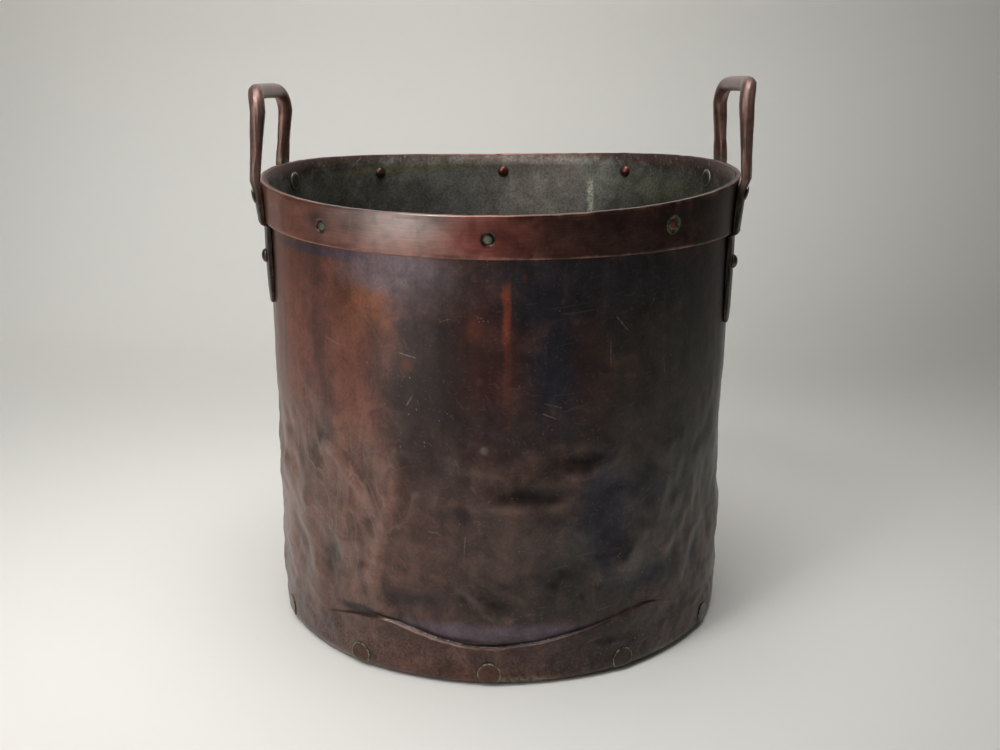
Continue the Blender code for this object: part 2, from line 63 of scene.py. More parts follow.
def makePiece(name, grid, material, slot, node, closeRows=False, **attributes):
    # grid[row, column, xyz] with closed columns; open rows end in caps, and faces are turned outwards
    rows, columns, _ = grid.shape
    points = grid.reshape(-1, 3)
    faces = gridFaces(rows, columns, closeRows, True)
    caps = [] if closeRows else [np.arange(columns)[::-1], np.arange((rows - 1) * columns, rows * columns)]
    if enclosedVolume(points - points.mean(axis=0), faces) < 0:
        faces = faces[:, ::-1]
        caps = [cap[::-1] for cap in caps]
    loops = np.concatenate([faces.ravel(), *caps])
    totals = np.array([4] * len(faces) + [columns] * len(caps))
    mesh = bpy.data.meshes.new(name)
    mesh.vertices.add(len(points))
    mesh.vertices.foreach_set("co", points.astype(np.float32).ravel())
    mesh.loops.add(len(loops))
    mesh.loops.foreach_set("vertex_index", loops.astype(np.int32))
    mesh.polygons.add(len(totals))
    mesh.polygons.foreach_set("loop_start", (np.cumsum(totals) - totals).astype(np.int32))
    mesh.polygons.foreach_set("use_smooth", np.ones(len(totals), bool))
    mesh.update(calc_edges=True)
    for label, values in attributes.items():
        layer = mesh.attributes.new(label, "FLOAT", "POINT")
        layer.data.foreach_set("value", np.broadcast_to(values, (rows, columns)).astype(np.float32).ravel())
    mesh.validate()
    mesh.materials.append(material)
    piece = addObject(name, mesh)
    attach(piece, "root")
    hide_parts(node)


def addObject(name, data):
    item = bpy.data.objects.new(name, data)
    bpy.context.scene.collection.objects.link(item)
    return item


def polar(radius, azimuth, height):
    # azimuth runs from the front, -Y, and is positive towards +X
    radius, azimuth, height = np.broadcast_arrays(radius, azimuth, height)
    return np.stack([radius * np.sin(azimuth), -radius * np.cos(azimuth), height], axis=-1)


def smoothStep(value):
    value = np.clip(value, 0, 1)
    return value * value * (3 - 2 * value)


def quarter(steps):
    return np.linspace(0, np.pi / 2, steps)


def circle(steps):
    return np.arange(steps) * 2 * np.pi / steps


def angleFrom(azimuth, degrees):
    # signed angle in degrees from a given azimuth, between -180 and 180
    return (np.degrees(azimuth) - degrees + 180) % 360 - 180


def alongWall(degrees):
    return math.radians(degrees) * wall["radius"]


def waveNoise(azimuth, height, size, seed, stretch=1.0, count=26):
    # sum of plane waves with whole numbers of cycles round the kettle, so it closes at the back
    draw = np.random.default_rng(seed)
    direction = draw.uniform(0, 2 * np.pi, count)
    pitch = 2 * np.pi / size * draw.uniform(0.55, 1.35, count)
    cycles = np.round(pitch * np.cos(direction) * wall["radius"])
    climb = pitch * np.sin(direction) / stretch
    phase = draw.uniform(0, 2 * np.pi, count)
    waves = zip(cycles, climb, phase)
    return sum(np.cos(c * azimuth + k * height + p) for c, k, p in waves) / np.sqrt(count / 2)


# Shader helpers

def colour(value):
    # outputs pass through; plain colours are red, green and blue in thousandths
    return value if isinstance(value, bpy.types.NodeSocket) else (*(part / 1000 for part in value), 1.0)


class Graph:
    # a shader tree, with short calls that add a node and hand back what it puts out
    def __init__(self, tree):
        self.tree = tree

    def join(self, value, socket):
        # link an output, or set a plain value
        if isinstance(value, bpy.types.NodeSocket):
            self.tree.links.new(value, socket)
        else:
            socket.default_value = value

    def add(self, kind, inputs=None, **settings):
        item = self.tree.nodes.new("ShaderNode" + kind)
        for label, value in settings.items():
            setattr(item, label, value)
        for label, value in (inputs or {}).items():
            self.join(value, item.inputs[label])
        return item.outputs

    def calc(self, operation, *values, clamp=False):
        return self.add("Math", dict(enumerate(values)), operation=operation, use_clamp=clamp)[0]

    def chain(self, operation, first, *others):
        for other in others:
            first = self.calc(operation, first, other)
        return first

    def times(self, *values):
        return self.chain("MULTIPLY", *values)

    def timesPlus(self, value, factor, other):
        return self.calc("MULTIPLY_ADD", value, factor, other)

    def centred(self, value):
        return self.calc("SUBTRACT", value, 0.5)

    def vector(self, operation, first, second):
        return self.add("VectorMath", {0: first, 1: second}, operation=operation)

    def scale(self, vector, factor):
        return self.add("VectorMath", {0: vector, 3: factor}, operation="SCALE")[0]

    def ramp(self, value, low, high, start=0.0, end=1.0):
        # smooth step from start to end as value goes from low to high
        limits = {"Value": value, "From Min": low, "From Max": high, "To Min": start, "To Max": end}
        return self.add("MapRange", limits, interpolation_type="SMOOTHSTEP")[0]

    def band(self, value, low, rise, high, fall):
        # up between low and rise, down between high and fall
        return self.times(self.ramp(value, low, rise), self.ramp(value, high, fall, 1.0, 0.0))

    def blend(self, share, first, second):
        return self.add("Mix", {0: share, 6: colour(first), 7: colour(second)}, data_type="RGBA")[2]

    def mottled(self, age, dark, light):
        return self.blend(self.ramp(age["Mottle"], 0.3, 0.7), dark, light)

    def noise(self, place, scale, detail=4.0, roughness=0.55, distortion=0.0):
        inputs = {"Vector": place, "Scale": scale, "Detail": detail, "Roughness": roughness}
        return self.add("TexNoise", {**inputs, "Distortion": distortion})["Fac"]

    def stretched(self, place, factors, turn=(0.0, 0.0, 0.0)):
        return self.add("Mapping", {"Vector": place, "Scale": factors, "Rotation": turn})[0]

    def split(self, vector):
        return self.add("SeparateXYZ", {0: vector})

    def mark(self, name):
        return self.add("Attribute", attribute_name=name)["Fac"]

    def group(self, group, **inputs):
        return self.add("Group", inputs, node_tree=group)


def newGroup(name, inputs, outputs):
    # an empty shader group with sockets of the given names: its graph, what comes in and what goes out
    tree = bpy.data.node_groups.new(name, "ShaderNodeTree")
    vectors = ("Place", "Unrolled", "Centre", "Size", "Start", "Way")
    for side, labels in (("INPUT", inputs), ("OUTPUT", outputs)):
        for label in labels.split():
            kind = "Vector" if label in vectors else "Color" if label == "Colour" else "Float"
            tree.interface.new_socket(label, in_out=side, socket_type="NodeSocket" + kind)
    return Graph(tree), tree.nodes.new("NodeGroupInput").outputs, tree.nodes.new("NodeGroupOutput").inputs


def newMaterial(name, metallic, coatWeight, coatRoughness, grain):
    # a material, its graph and Principled inputs, the Object coordinates and the marks of age on them
    material = bpy.data.materials.new(name)
    material.use_nodes = True
    graph = Graph(material.node_tree)
    shader = graph.tree.nodes["Principled BSDF"].inputs
    shader["Metallic"].default_value = metallic
    shader["Coat Weight"].default_value = coatWeight
    shader["Coat Roughness"].default_value = coatRoughness
    place = graph.add("TexCoord")["Object"]
    return material, graph, shader, place, graph.group(oldCopper, Place=place, Grain=grain)


def feed(graph, shader, base, rough, height, strength, distance):
    # colour, roughness and a bump of the given height
    graph.join(base, shader["Base Color"])
    graph.join(rough, shader["Roughness"])
    bump = graph.add("Bump", {"Height": height, "Strength": strength, "Distance": distance})[0]
    graph.join(bump, shader["Normal"])


def makeUnrolled():
    # metres along the wall from the front, and height, as one vector; facing -1 measures from the back
    graph, start, end = newGroup("unrolled wall", "Place Facing Radius", "Unrolled")
    x, y, z = graph.split(start["Place"])
    turn = graph.calc("ARCTAN2", x, graph.times(y, -1.0, start["Facing"]))
    along = graph.times(turn, start["Radius"])
    graph.join(graph.add("CombineXYZ", {0: along, 1: z})[0], end["Unrolled"])
    return graph.tree


def makeTintSpot():
    # an oval with a soft, ragged edge: 1 inside, 0 outside
    graph, start, end = newGroup("tint spot", "Unrolled Centre Size Ragged Soft", "Mask")
    gap = graph.vector("SUBTRACT", start["Unrolled"], start["Centre"])[0]
    share = graph.vector("DIVIDE", gap, start["Size"])[0]
    distance = graph.add("VectorMath", {0: share}, operation="LENGTH")["Value"]
    rough = graph.calc("ADD", distance, start["Ragged"])
    inner, outer = graph.calc("SUBTRACT", 1.0, start["Soft"]), graph.calc("ADD", 1.0, start["Soft"])
    graph.join(graph.ramp(rough, inner, outer, 1.0, 0.0), end["Mask"])
    return graph.tree


def makeScratch():
    # distance to a short straight line on the unrolled wall, as a thin mask
    graph, start, end = newGroup("scratch", "Unrolled Start Way Width", "Mask")
    gap = graph.vector("SUBTRACT", start["Unrolled"], start["Start"])[0]
    along = graph.vector("DOT_PRODUCT", gap, start["Way"])["Value"]
    whole = graph.vector("DOT_PRODUCT", start["Way"], start["Way"])["Value"]
    nearest = graph.scale(start["Way"], graph.calc("DIVIDE", along, whole, clamp=True))
    gap = graph.vector("DISTANCE", gap, nearest)["Value"]
    graph.join(graph.ramp(gap, graph.times(start["Width"], 0.3), start["Width"], 1.0, 0.0), end["Mask"])
    return graph.tree


def makeOldCopper():
    # cloudy mottling, vertical runs, specks and short scratches of an old copper surface
    graph, start, end = newGroup("old copper", "Place Grain", "Cloud Mottle Run Speck Scratch Grit")
    place = graph.scale(start["Place"], start["Grain"])
    dots = graph.add("TexVoronoi", {"Vector": place, "Scale": 230.0})["Distance"]
    scratches = []
    for tip, turn in ((0.35, 0.5), (1.2, 1.9), (0.9, 2.7)):
        lane = graph.stretched(place, (1.0, 1.0, 1.0), (tip, turn, 0.2 * turn))
        lane = graph.stretched(lane, (1.0, 1.0, 0.05))
        scratches.append(graph.ramp(graph.noise(lane, 420.0, 0.0), 0.74, 0.8))
    marks = {"Cloud": graph.noise(place, 9.0, 3.0, 0.5, 0.4),
             "Mottle": graph.noise(place, 42.0, 6.0, 0.62, 0.5),
             "Run": graph.noise(graph.stretched(place, (1.0, 1.0, 0.07)), 70.0, 3.0, 0.6),
             "Speck": graph.times(graph.ramp(dots, 0.06, 0.2, 1.0, 0.0),
                                  graph.ramp(graph.noise(place, 75.0, 1.0), 0.64, 0.7)),
             "Scratch": graph.chain("MAXIMUM", *scratches),
             "Grit": graph.noise(place, 420.0, 4.0, 0.6)}
    for label, value in marks.items():
        graph.join(value, end[label])
    return graph.tree


def makeVerdigris():
    # green crust laid over a colour where the mask, broken up by noise, allows it
    graph, start, end = newGroup("verdigris", "Place Colour Mask", "Colour Share")
    share = graph.times(start["Mask"], graph.ramp(graph.noise(start["Place"], 260.0, 4.0, 0.65), 0.42, 0.58))
    green = graph.blend(graph.noise(start["Place"], 700.0, 3.0), (120, 160, 90), (360, 440, 290))
    graph.join(graph.blend(share, start["Colour"], green), end["Colour"])
    graph.join(share, end["Share"])
    return graph.tree


unrolled = makeUnrolled()
tintSpot = makeTintSpot()
scratch = makeScratch()
oldCopper = makeOldCopper()
verdigris = makeVerdigris()
print("shader groups ready")


def spotMask(graph, flat, ragged, degrees, height, halfWidth, halfHeight, soft):
    # mask of one oval spot, with lengths in millimetres
    centre = (alongWall(degrees), height / 1000, 0.0)
    size = (halfWidth / 1000, halfHeight / 1000, 1.0)
    return graph.group(tintSpot, Unrolled=flat, Centre=centre, Size=size, Ragged=ragged, Soft=soft)[0]


def layTints(graph, base, flat, ragged, tints):
    # each spot blends its own colour over what lies under it
    for *place, tone, strength, soft in tints:
        spot = spotMask(graph, flat, ragged, *place, soft / 100)
        base = graph.blend(graph.times(spot, strength / 100), base, tone)
    return base


def wearMarks(graph, age, base, scratched, scratchTone, specked, speckTone):
    base = graph.blend(graph.times(age["Scratch"], scratched), base, scratchTone)
    return graph.blend(graph.times(age["Speck"], specked), base, speckTone)


def unroll(graph, place, facing):
    return graph.group(unrolled, Place=place, Facing=facing, Radius=wall["radius"])[0]


# Wall

wall = {
    "radius": 0.218, "sheet": 0.002, "rimHeight": 0.421, "hoopHeight": 0.0395, "flare": 0.0024,
    "rimSetback": 0.0006, "corner": 0.0105, "lip": 0.012,
    "saddle": 0.0046, "tilt": 0.0014, "wave": 0.0011, "edgeTilt": 0.0056, "edgeTwist": 0.0019,
    "columns": 424, "crowding": 0.38, "cornerRows": 9,
    # low, high, outer steps, inner steps
    "bands": ((0.0105, 0.03, 6, 5), (0.03, 0.066, 48, 18), (0.066, 0.125, 28, 16), (0.125, 0.265, 38, 20),
              (0.265, 0.42, 16, 12)),
    "dentFloor": 0.0275, "dentCeiling": 0.285, "fadeIn": 0.01, "fadeOut": 0.075,
    # azimuth, height in mm, share of the depth, reach in mm of the hollow above it, dirt and painted shade
    # in it
    "creaseLine": (
        (-47, 40, 0, 6, 0), (-41, 46.8, 0.4, 6, 0.5), (-34, 52.5, 0.6, 8, 0.9), (-27, 53.8, 0.75, 10, 0.7),
        (-22, 48.6, 1, 16, 0.4), (-16, 42.8, 1, 21, 0.4), (-11, 39.5, 1, 23, 0.5), (-6.5, 37, 1, 24, 0.6),
        (-2, 35.8, 1, 24, 0.7), (6.5, 38.7, 1, 22, 0.8), (15.5, 45.1, 1, 18, 0.8),
        (23.5, 49.7, 0.8, 12, 0.4), (32.5, 58.3, 0.6, 10, 0.1), (38.5, 61.2, 0.4, 8, 0), (47, 50, 0, 6, 0)),
    "creaseDepth": 0.0031, "creaseEdge": 0.001, "lipProud": 0.0001, "lipDrop": 0.0007, "creaseDirtAndShade": 0.0014,
    "frontDepth": 0.0014, "frontSpan": 34.0, "frontReach": 0.085, "foldRound": 0.0022, "near": 0.012,
    "proudest": 0.0008, "buckle": 0.0008, "wrinkle": 0.0003, "buckleTop": 0.28, "buckleFade": 0.12,
    "hammer": 0.0002, "hammerTop": 0.3, "hammerFade": 0.18, "footFlat": 0.0005, "footTop": 0.05,
    "footFade": 0.04, "scratchWidth": 0.0007,
    # azimuth, height, half width and half height in mm of the crumpled part
    "crumpled": (-40, 165, 75, 85),
    # painted reflection over the crease, with the columns of the wall tints
    "creasePaintedReflection": (1, 49, 85, 9.2, (110, 82, 105), 85, 50),
    "seam": {"turn": 1.9, "top": 0.3625, "bottom": 0.215, "half": 0.0032, "hot": (420, 90, 28),
             "cool": (200, 52, 40)},
    "lime": {"turn": 27.0, "top": 0.398, "bottom": 0.25, "half": 0.004, "colour": (620, 630, 520)},
}
# azimuth, then height, half width, half height and depth of the dents in mm
wallDents = (
    (-62, 100, 45, 40, 3), (-70, 205, 30, 30, 1.5), (-50, 215, 26, 45, 1.6), (-38, 140, 55, 60, 2.2),
    (-31, 196, 16, 26, 1.2), (-43.9, 96, 17, 24, 1), (-36, 56.2, 18, 5, 1.4), (-20, 77, 34, 13, 1.7),
    (-15, 196, 17, 20, 1), (-7, 160, 22, 11, 1), (0, 85, 30, 16, 1.4), (19.6, 208.5, 24, 8, 1.3),
    (9.7, 178.5, 25, 8, 1), (25.5, 148, 28, 42, 1.1), (18, 102, 20, 24, 1), (39, 86, 34, 16, 1.3),
    (62, 120, 50, 60, 2.6), (55, 85, 16, 16, 1.2), (88, 190, 60, 70, 3), (135, 110, 60, 50, 3.5),
    (112, 75, 30, 22, 1.8), (-150, 140, 70, 60, 3), (-112, 90, 45, 30, 2.2), (175, 80, 50, 35, 2.5),
    (-172, 200, 40, 30, 1.4))
# raised folds: points of azimuth and height, width of the flank on the left of the way along it and on the
# right, height; lengths in mm
wallFolds = (
    (((-45, 212), (-40, 193), (-36.5, 181), (-33.6, 166), (-30.5, 148)), 6, 20, 3),
    (((-23, 222), (-23.8, 203), (-24.2, 176), (-29.1, 128), (-31, 88), (-28, 60)), 8, 16, 2.8),
    (((-31.8, 102), (-30.8, 88), (-29.6, 73.1), (-27.5, 62.4), (-24.5, 55)), 4, 5, 2.4),
    (((-52, 190), (-54, 160), (-57, 120), (-51, 80), (-43, 64)), 18, 8, 2.2),
    (((-69, 245), (-66, 190), (-70, 140), (-64, 80)), 13, 11, 1.1),
    (((-47, 262), (-42, 240), (-37, 205)), 9, 18, 1.3), (((-40, 155), (-42, 120), (-37, 96)), 6, 11, 1.1),
    (((-26, 206), (-21, 212), (-15, 210)), 6, 9, 1.2), (((-12, 206), (-4, 200), (4, 192)), 6, 10, 1.4),
    (((-7, 167), (3.7, 170.5), (17.5, 168.5)), 6, 10, 1.6), (((15, 194), (22, 197), (29.5, 206)), 6, 9, 1.4),
    (((-11, 99), (-4.9, 80), (-1.9, 69), (4.4, 61)), 6, 8, 2), (((-2, 96), (5, 83), (8, 60)), 8, 6, 1.4),
    (((18, 170), (20.5, 128), (24.5, 96)), 6, 9, 0.6), (((37.5, 136), (33.9, 118.5), (27.8, 94)), 8, 6, 1.2),
    (((41, 100), (50, 125), (59, 155)), 10, 7, 1.4), (((49, 62), (54, 105), (62, 122)), 8, 8, 1.3),
    (((100, 130), (112, 110), (124, 60)), 10, 14, 1.8), (((150, 170), (160, 120), (158, 70)), 14, 10, 1.7),
    (((-160, 120), (-145, 80), (-128, 75)), 10, 12, 1.7),
    (((-120, 180), (-110, 140), (-98, 85)), 14, 10, 1.8))


def rimTop(azimuth):
    # a saddle, a tilt and a three-lobed wave on the mean height
    rise = -wall["saddle"] * np.cos(2 * azimuth) + wall["tilt"] * np.sin(azimuth)
    return wall["rimHeight"] + rise + wall["wave"] * np.cos(3 * azimuth)


def hoopBottom(azimuth):
    tilt = -wall["edgeTilt"] * np.sin(azimuth) + wall["edgeTwist"] * np.sin(2 * azimuth)
    return wall["rimHeight"] - wall["hoopHeight"] + tilt


def flareOut(height):
    edge = wall["rimHeight"] - wall["hoopHeight"]
    return wall["flare"] * np.maximum(height - edge, 0) / wall["hoopHeight"]


def drawnLine(points, degrees):
    # straight runs between drawn points, averaged over a few degrees so that they bend softly
    azimuths, *columns = np.array(points).T
    places = [degrees + shift for shift in np.linspace(-3, 3, 7)]
    return [np.mean([np.interp(place, azimuths, column) for place in places], axis=0) for column in columns]


def lineGap(points, azimuth, height):
    # on the unrolled wall: distance to a line through points, whether it lies to the left of the way along,
    # and the share of the length at the nearest place
    first = points[0][0]
    places = np.array([(alongWall(degrees - first), level / 1000) for degrees, level in points])
    along = np.radians(angleFrom(azimuth, first)) * wall["radius"]
    runs = np.diff(places, axis=0)
    lengths = np.hypot(runs[:, 0], runs[:, 1])
    nearest = np.full(np.broadcast(along, height).shape, np.inf)
    share, left = np.zeros_like(nearest), np.zeros_like(nearest)
    done = 0.0
    for start, run, length in zip(places[:-1], runs, lengths):
        right, up = along - start[0], height - start[1]
        step = np.clip((right * run[0] + up * run[1]) / length ** 2, 0, 1)
        gap = np.hypot(right - step * run[0], up - step * run[1])
        closer = gap < nearest
        share = np.where(closer, (done + step * length) / lengths.sum(), share)
        left = np.where(closer, run[0] * up - run[1] * right > 0, left)
        nearest = np.minimum(nearest, gap)
        done += length
    return nearest, left, share


def creaseRelief(azimuth, height):
    # a ledge with a hollow over it that fades upwards, a lip along its edge that carries a painted
    # highlight, and a dark line of dirt and painted shade over it
    degrees = angleFrom(azimuth, 0.0)
    crease, share, reach, dirtAndShadeShare = drawnLine(wall["creaseLine"], degrees)
    above = height - crease / 1000
    ledge = smoothStep(above / wall["creaseEdge"] + 0.5)
    hollow = wall["creaseDepth"] * share * ledge * np.exp(-np.maximum(above, 0) / (reach / 1000))
    lip = share * (1.15 - dirtAndShadeShare) * np.exp(-((above + wall["lipDrop"]) / wall["lipDrop"]) ** 2)
    middle = np.exp(-np.abs(degrees / wall["frontSpan"]) ** 4)
    front = wall["frontDepth"] * middle * ledge * np.exp(-(above / wall["frontReach"]) ** 2)
    dirtAndShade = dirtAndShadeShare * np.exp(-((above - 0.5 * wall["creaseDirtAndShade"]) / wall["creaseDirtAndShade"]) ** 2)
    return hollow + front - wall["lipProud"] * lip, lip, dirtAndShade, ledge * share


def dentRelief(azimuth, height):
    # bells for dents, and ridges with a flank of their own on each side for folds
    depth = 0.0
    for centre, level, halfWidth, halfHeight, deepest in wallDents:
        across = np.radians(angleFrom(azimuth, centre)) * wall["radius"] / halfWidth
        up = (height - level / 1000) / halfHeight
        depth = depth + deepest * np.exp(-(across ** 2 + up ** 2) * 1e6)
    for points, leftFlank, rightFlank, proud in wallFolds:
        gap, left, share = lineGap(points, azimuth, height)
        gap = np.hypot(gap, wall["foldRound"]) - wall["foldRound"]
        ridge = np.exp(-1000 * gap / np.where(left, leftFlank, rightFlank))
        depth = depth - proud * ridge * np.sqrt(np.sin(np.pi * share))
    return depth / 1000


def buckles(azimuth, height):
    # slow wave noise low down, with a finer one that is weak at the front
    low = smoothStep((wall["buckleTop"] - height) / wall["buckleFade"])
    ripple = np.abs(waveNoise(azimuth, height, 0.06, 8, 0.9))
    slow = waveNoise(azimuth, height, 0.075, 5, 0.8) + 0.6 * (1 - np.minimum(ripple, 1.6))
    sides = 1 - 0.7 * np.exp(-(angleFrom(azimuth, 0.0) / wall["frontSpan"]) ** 4)
    fine = waveNoise(azimuth, height, 0.05, 9, 2.0) + 0.5 * waveNoise(azimuth, height, 0.024, 14, 1.4)
    return low * (wall["buckle"] * slow + wall["wrinkle"] * sides * fine)


def wallRelief(azimuth, height):
    # depth below the round wall, and marks for the patina and the painted light: crest is 1 on a ridge,
    # 0.5 on plain wall and 0 in a hollow, tucked is 1 above the crease and lip is 1 along its edge
    crease, lip, dirtAndShade, tucked = creaseRelief(azimuth, height)
    dents = dentRelief(azimuth, height)
    near = [dentRelief(azimuth + wall["near"] * math.cos(turn) / wall["radius"],
                       height + wall["near"] * math.sin(turn)) for turn in circle(8)]
    proud = (np.mean(near, axis=0) - dents) / wall["proudest"] - 2 * dirtAndShade
    fade = smoothStep((height - wall["dentFloor"]) / wall["fadeIn"])
    fade = fade * smoothStep((wall["dentCeiling"] - height) / wall["fadeOut"])
    depth = crease + dents + buckles(azimuth, height)
    return depth * fade, {"crest": 0.5 + 0.5 * np.clip(proud, -1, 1) * fade, "tucked": tucked, "lip": lip}


def hammerMarks(azimuth, height):
    # small shallow planishing marks, stronger low down
    low = smoothStep((wall["hammerTop"] - height) / wall["hammerFade"])
    strength = wall["hammer"] * (0.35 + 0.65 * low)
    return strength * (waveNoise(azimuth, height, 0.022, 11) + 0.5 * waveNoise(azimuth, height, 0.011, 12))


def footFlats(azimuth, height):
    # the foot draws in a little between its rivets
    turn = azimuth - math.radians(baseRivet["start"])
    drawIn = wall["footFlat"] * (1 - np.cos(baseRivet["count"] * turn))
    return drawIn * smoothStep((wall["footTop"] - height) / wall["footFade"])


def wallLevels(top, inner):
    # rows in bands of height, closer where the wall is creased; the last band runs up to the rim
    rows = [np.linspace(low, high, steps[inner] + 1)[1:] for low, high, *steps in wall["bands"]]
    level = np.concatenate(rows)[None, :]
    low, high = wall["bands"][-1][:2]
    return level + (top - high) * np.clip((level - low) / (high - low), 0, 1)


def wallGrid():
    # closed profile carried round: lip, corner arc, outer face, rim edge, inner face, inner arc, lip;
    # the columns stand closer at the front
    turn = circle(wall["columns"]) - np.pi
    azimuth = (turn - wall["crowding"] * np.sin(turn))[:, None]
    bend = quarter(wall["cornerRows"])[None, :]
    corner, inner = wall["corner"], wall["corner"] - wall["sheet"]
    centre = wall["radius"] - corner
    top = rimTop(azimuth) - wall["rimSetback"]
    outerHeight = wallLevels(top, 0)
    innerHeight = wallLevels(top, 1)[:, ::-1]
    outerDepth, marks = wallRelief(azimuth, outerHeight)
    outerFace = wall["radius"] + flareOut(outerHeight) - outerDepth
    outerFace = outerFace - footFlats(azimuth, outerHeight) + hammerMarks(azimuth, outerHeight)
    innerFace = wall["radius"] - wall["sheet"] + flareOut(innerHeight) - wallRelief(azimuth, innerHeight)[0]
    innerFace = innerFace + 0.3 * hammerMarks(azimuth, innerHeight)
    flats = footFlats(azimuth, np.full_like(bend, corner))
    ones = np.ones_like(azimuth)
    lip = (centre - wall["lip"]) * ones
    back = bend[:, ::-1]
    radius = np.concatenate([lip, centre + (corner - flats) * np.sin(bend), outerFace, innerFace,
                             centre + inner * np.sin(back) * ones, lip], axis=1)
    height = np.concatenate([0 * ones, corner * (1 - np.cos(bend)) * ones, outerHeight, innerHeight,
                             (corner - inner * np.cos(back)) * ones, wall["sheet"] * ones], axis=1)
    before = 1 + wall["cornerRows"]
    after = radius.shape[1] - before - outerHeight.shape[1]
    marks = {label: np.pad(values, ((0, 0), (before, after)), "edge") for label, values in marks.items()}
    inside = np.arange(radius.shape[1])[None, :] >= radius.shape[1] - after
    return polar(radius, azimuth, height), {"inside": inside, **marks}


# azimuth; height, half width along the wall and half height in mm; colour in thousandths; strength and
# softness in per cent
# some spots below are painted light: a reflection, a sheen and shade in two dents
wallTintsAndPaintedLight = (
    # left: red brown, an orange cloud, a blue heat line under the hoop and a painted pale reflection below
    # it
    (-52, 270, 125, 150, (240, 86, 58), 92, 60), (-58, 125, 90, 110, (185, 98, 75), 80, 60),
    (-46, 190, 24, 62, (175, 114, 94), 70, 80), (-39, 112, 40, 48, (195, 116, 93), 68, 80),
    (-31, 180, 18, 58, (205, 113, 94), 70, 80), (-27, 275, 18, 30, (80, 44, 38), 65, 80),
    (-21, 306, 12, 14, (110, 60, 48), 35, 80), (-21, 250, 24, 60, (32, 20, 18), 84, 80),
    (-19, 302, 15, 40, (50, 30, 27), 50, 80), (-31, 343, 34, 30, (190, 70, 30), 66, 80),
    (-37, 322, 30, 30, (180, 66, 38), 45, 80), (-46, 300, 26, 80, (160, 74, 66), 60, 80),
    (-57, 315, 22, 50, (270, 88, 58), 60, 80), (-42, 377, 70, 3.8, (70, 66, 102), 75, 60),
    # the pale lilac spot at -22 and 366 mm is a painted reflection of the bright floor
    (-22, 366, 46, 15, (185, 142, 165), 80, 70), (-17, 348, 26, 18, (58, 39, 46), 65, 80),
    (-20, 333, 14, 20, (76, 46, 54), 50, 80),
    # middle: blackened zones with dull red between them, a painted sheen under the hoop and painted shade in
    # two dents
    (-11, 285, 38, 56, (15, 9, 8), 92, 70), (-14, 205, 30, 30, (46, 26, 22), 75, 60),
    (-1, 300, 22, 72, (88, 31, 26), 70, 80), (7, 347, 24, 19, (22, 20, 29), 88, 70),
    (13.5, 283, 23, 50, (19, 19, 32), 92, 70), (14, 236, 30, 12, (22, 18, 20), 70, 60),
    (23, 290, 20, 50, (46, 18, 14), 75, 70), (27, 314, 8, 20, (19, 19, 30), 80, 50),
    (-2, 145, 80, 45, (86, 53, 45), 70, 60), (20, 125, 60, 60, (43, 38, 36), 75, 80),
    (14, 74, 55, 20, (32, 27, 26), 70, 80), (5, 236, 45, 18, (40, 32, 34), 60, 80),
    (12, 369, 70, 11, (33, 30, 42), 80, 70), (-3, 203, 26, 7, (108, 68, 56), 50, 80),
    (-3.1, 219.9, 3.4, 3.4, (180, 150, 120), 65, 50), (2, 168, 45, 6, (118, 74, 59), 55, 80),
    # the dark spots at 19.6 and 9.7 degrees, on this line and the next, are painted shade in the dents there
    (-9, 160, 18, 9, (36, 22, 20), 70, 60), (19.6, 208.5, 24, 8, (12, 10, 12), 52, 90),
    (9.7, 178.5, 25, 8, (13, 11, 10), 42, 90), (21, 196, 20, 6, (95, 48, 36), 50, 60),
    (-15.5, 228, 36, 75, (26, 17, 15), 26, 70), (-28, 300, 17, 26, (70, 33, 26), 50, 70),
    (-20, 272, 16, 52, (30, 18, 16), 26, 80), (-39.5, 215, 24, 62, (100, 74, 65), 32, 70),
    # the wide pale band at 5 and 357 mm is a painted sheen under the hoop
    (5, 357, 130, 15, (80, 58, 58), 18, 70), (-53, 172, 22, 30, (60, 42, 38), 35, 70),
    (-28.5, 192, 16, 30, (240, 150, 120), 20, 80),
    # right: olive and blue black
    (38, 350, 85, 26, (24, 23, 33), 90, 70), (42, 296, 60, 40, (37, 31, 25), 80, 70),
    (50, 190, 85, 130, (41, 38, 33), 90, 70), (80, 215, 50, 190, (22, 19, 17), 88, 70),
    (36, 252, 26, 25, (36, 33, 30), 60, 70), (31, 170, 40, 22, (25, 26, 37), 70, 90),
    (24.5, 150, 24, 44, (18, 19, 34), 88, 80), (18, 102, 20, 26, (27, 26, 19), 70, 70),
    (39, 86, 36, 17, (18, 18, 26), 75, 80), (34.5, 120, 7, 22, (60, 55, 53), 55, 90),
    (56, 83, 10, 12, (20, 18, 18), 70, 50), (31, 235, 55, 115, (95, 72, 64), 16, 70),
    # low down: dark hollows and the foot
    (-20, 77, 34, 12, (62, 38, 34), 65, 70), (-35.5, 55.5, 20, 4.2, (26, 19, 18), 80, 80),
    (-43.7, 99, 16, 23, (44, 31, 33), 62, 90), (2, 79, 50, 13, (40, 26, 22), 65, 60),
    (0, 12, 500, 24, (96, 50, 41), 80, 50), (-46, 30, 60, 28, (128, 76, 64), 60, 80),
    (42, 30, 120, 34, (26, 21, 18), 88, 70), (4, 22, 60, 16, (46, 30, 28), 34, 70),
    (-8, 9, 60, 9, (120, 46, 32), 55, 90),
    # sides and back
    (150, 250, 160, 150, (120, 44, 28), 70, 60), (128, 330, 60, 40, (200, 75, 36), 55, 70),
    (168, 180, 50, 60, (30, 18, 18), 75, 50), (-130, 230, 120, 160, (60, 26, 20), 70, 60),
    (-150, 330, 60, 45, (150, 55, 34), 60, 60), (-95, 200, 60, 150, (160, 62, 42), 70, 60),
    (105, 200, 80, 140, (58, 34, 27), 70, 60), (-165, 100, 70, 40, (90, 50, 36), 60, 60),
    (120, 110, 40, 45, (22, 20, 26), 70, 50))
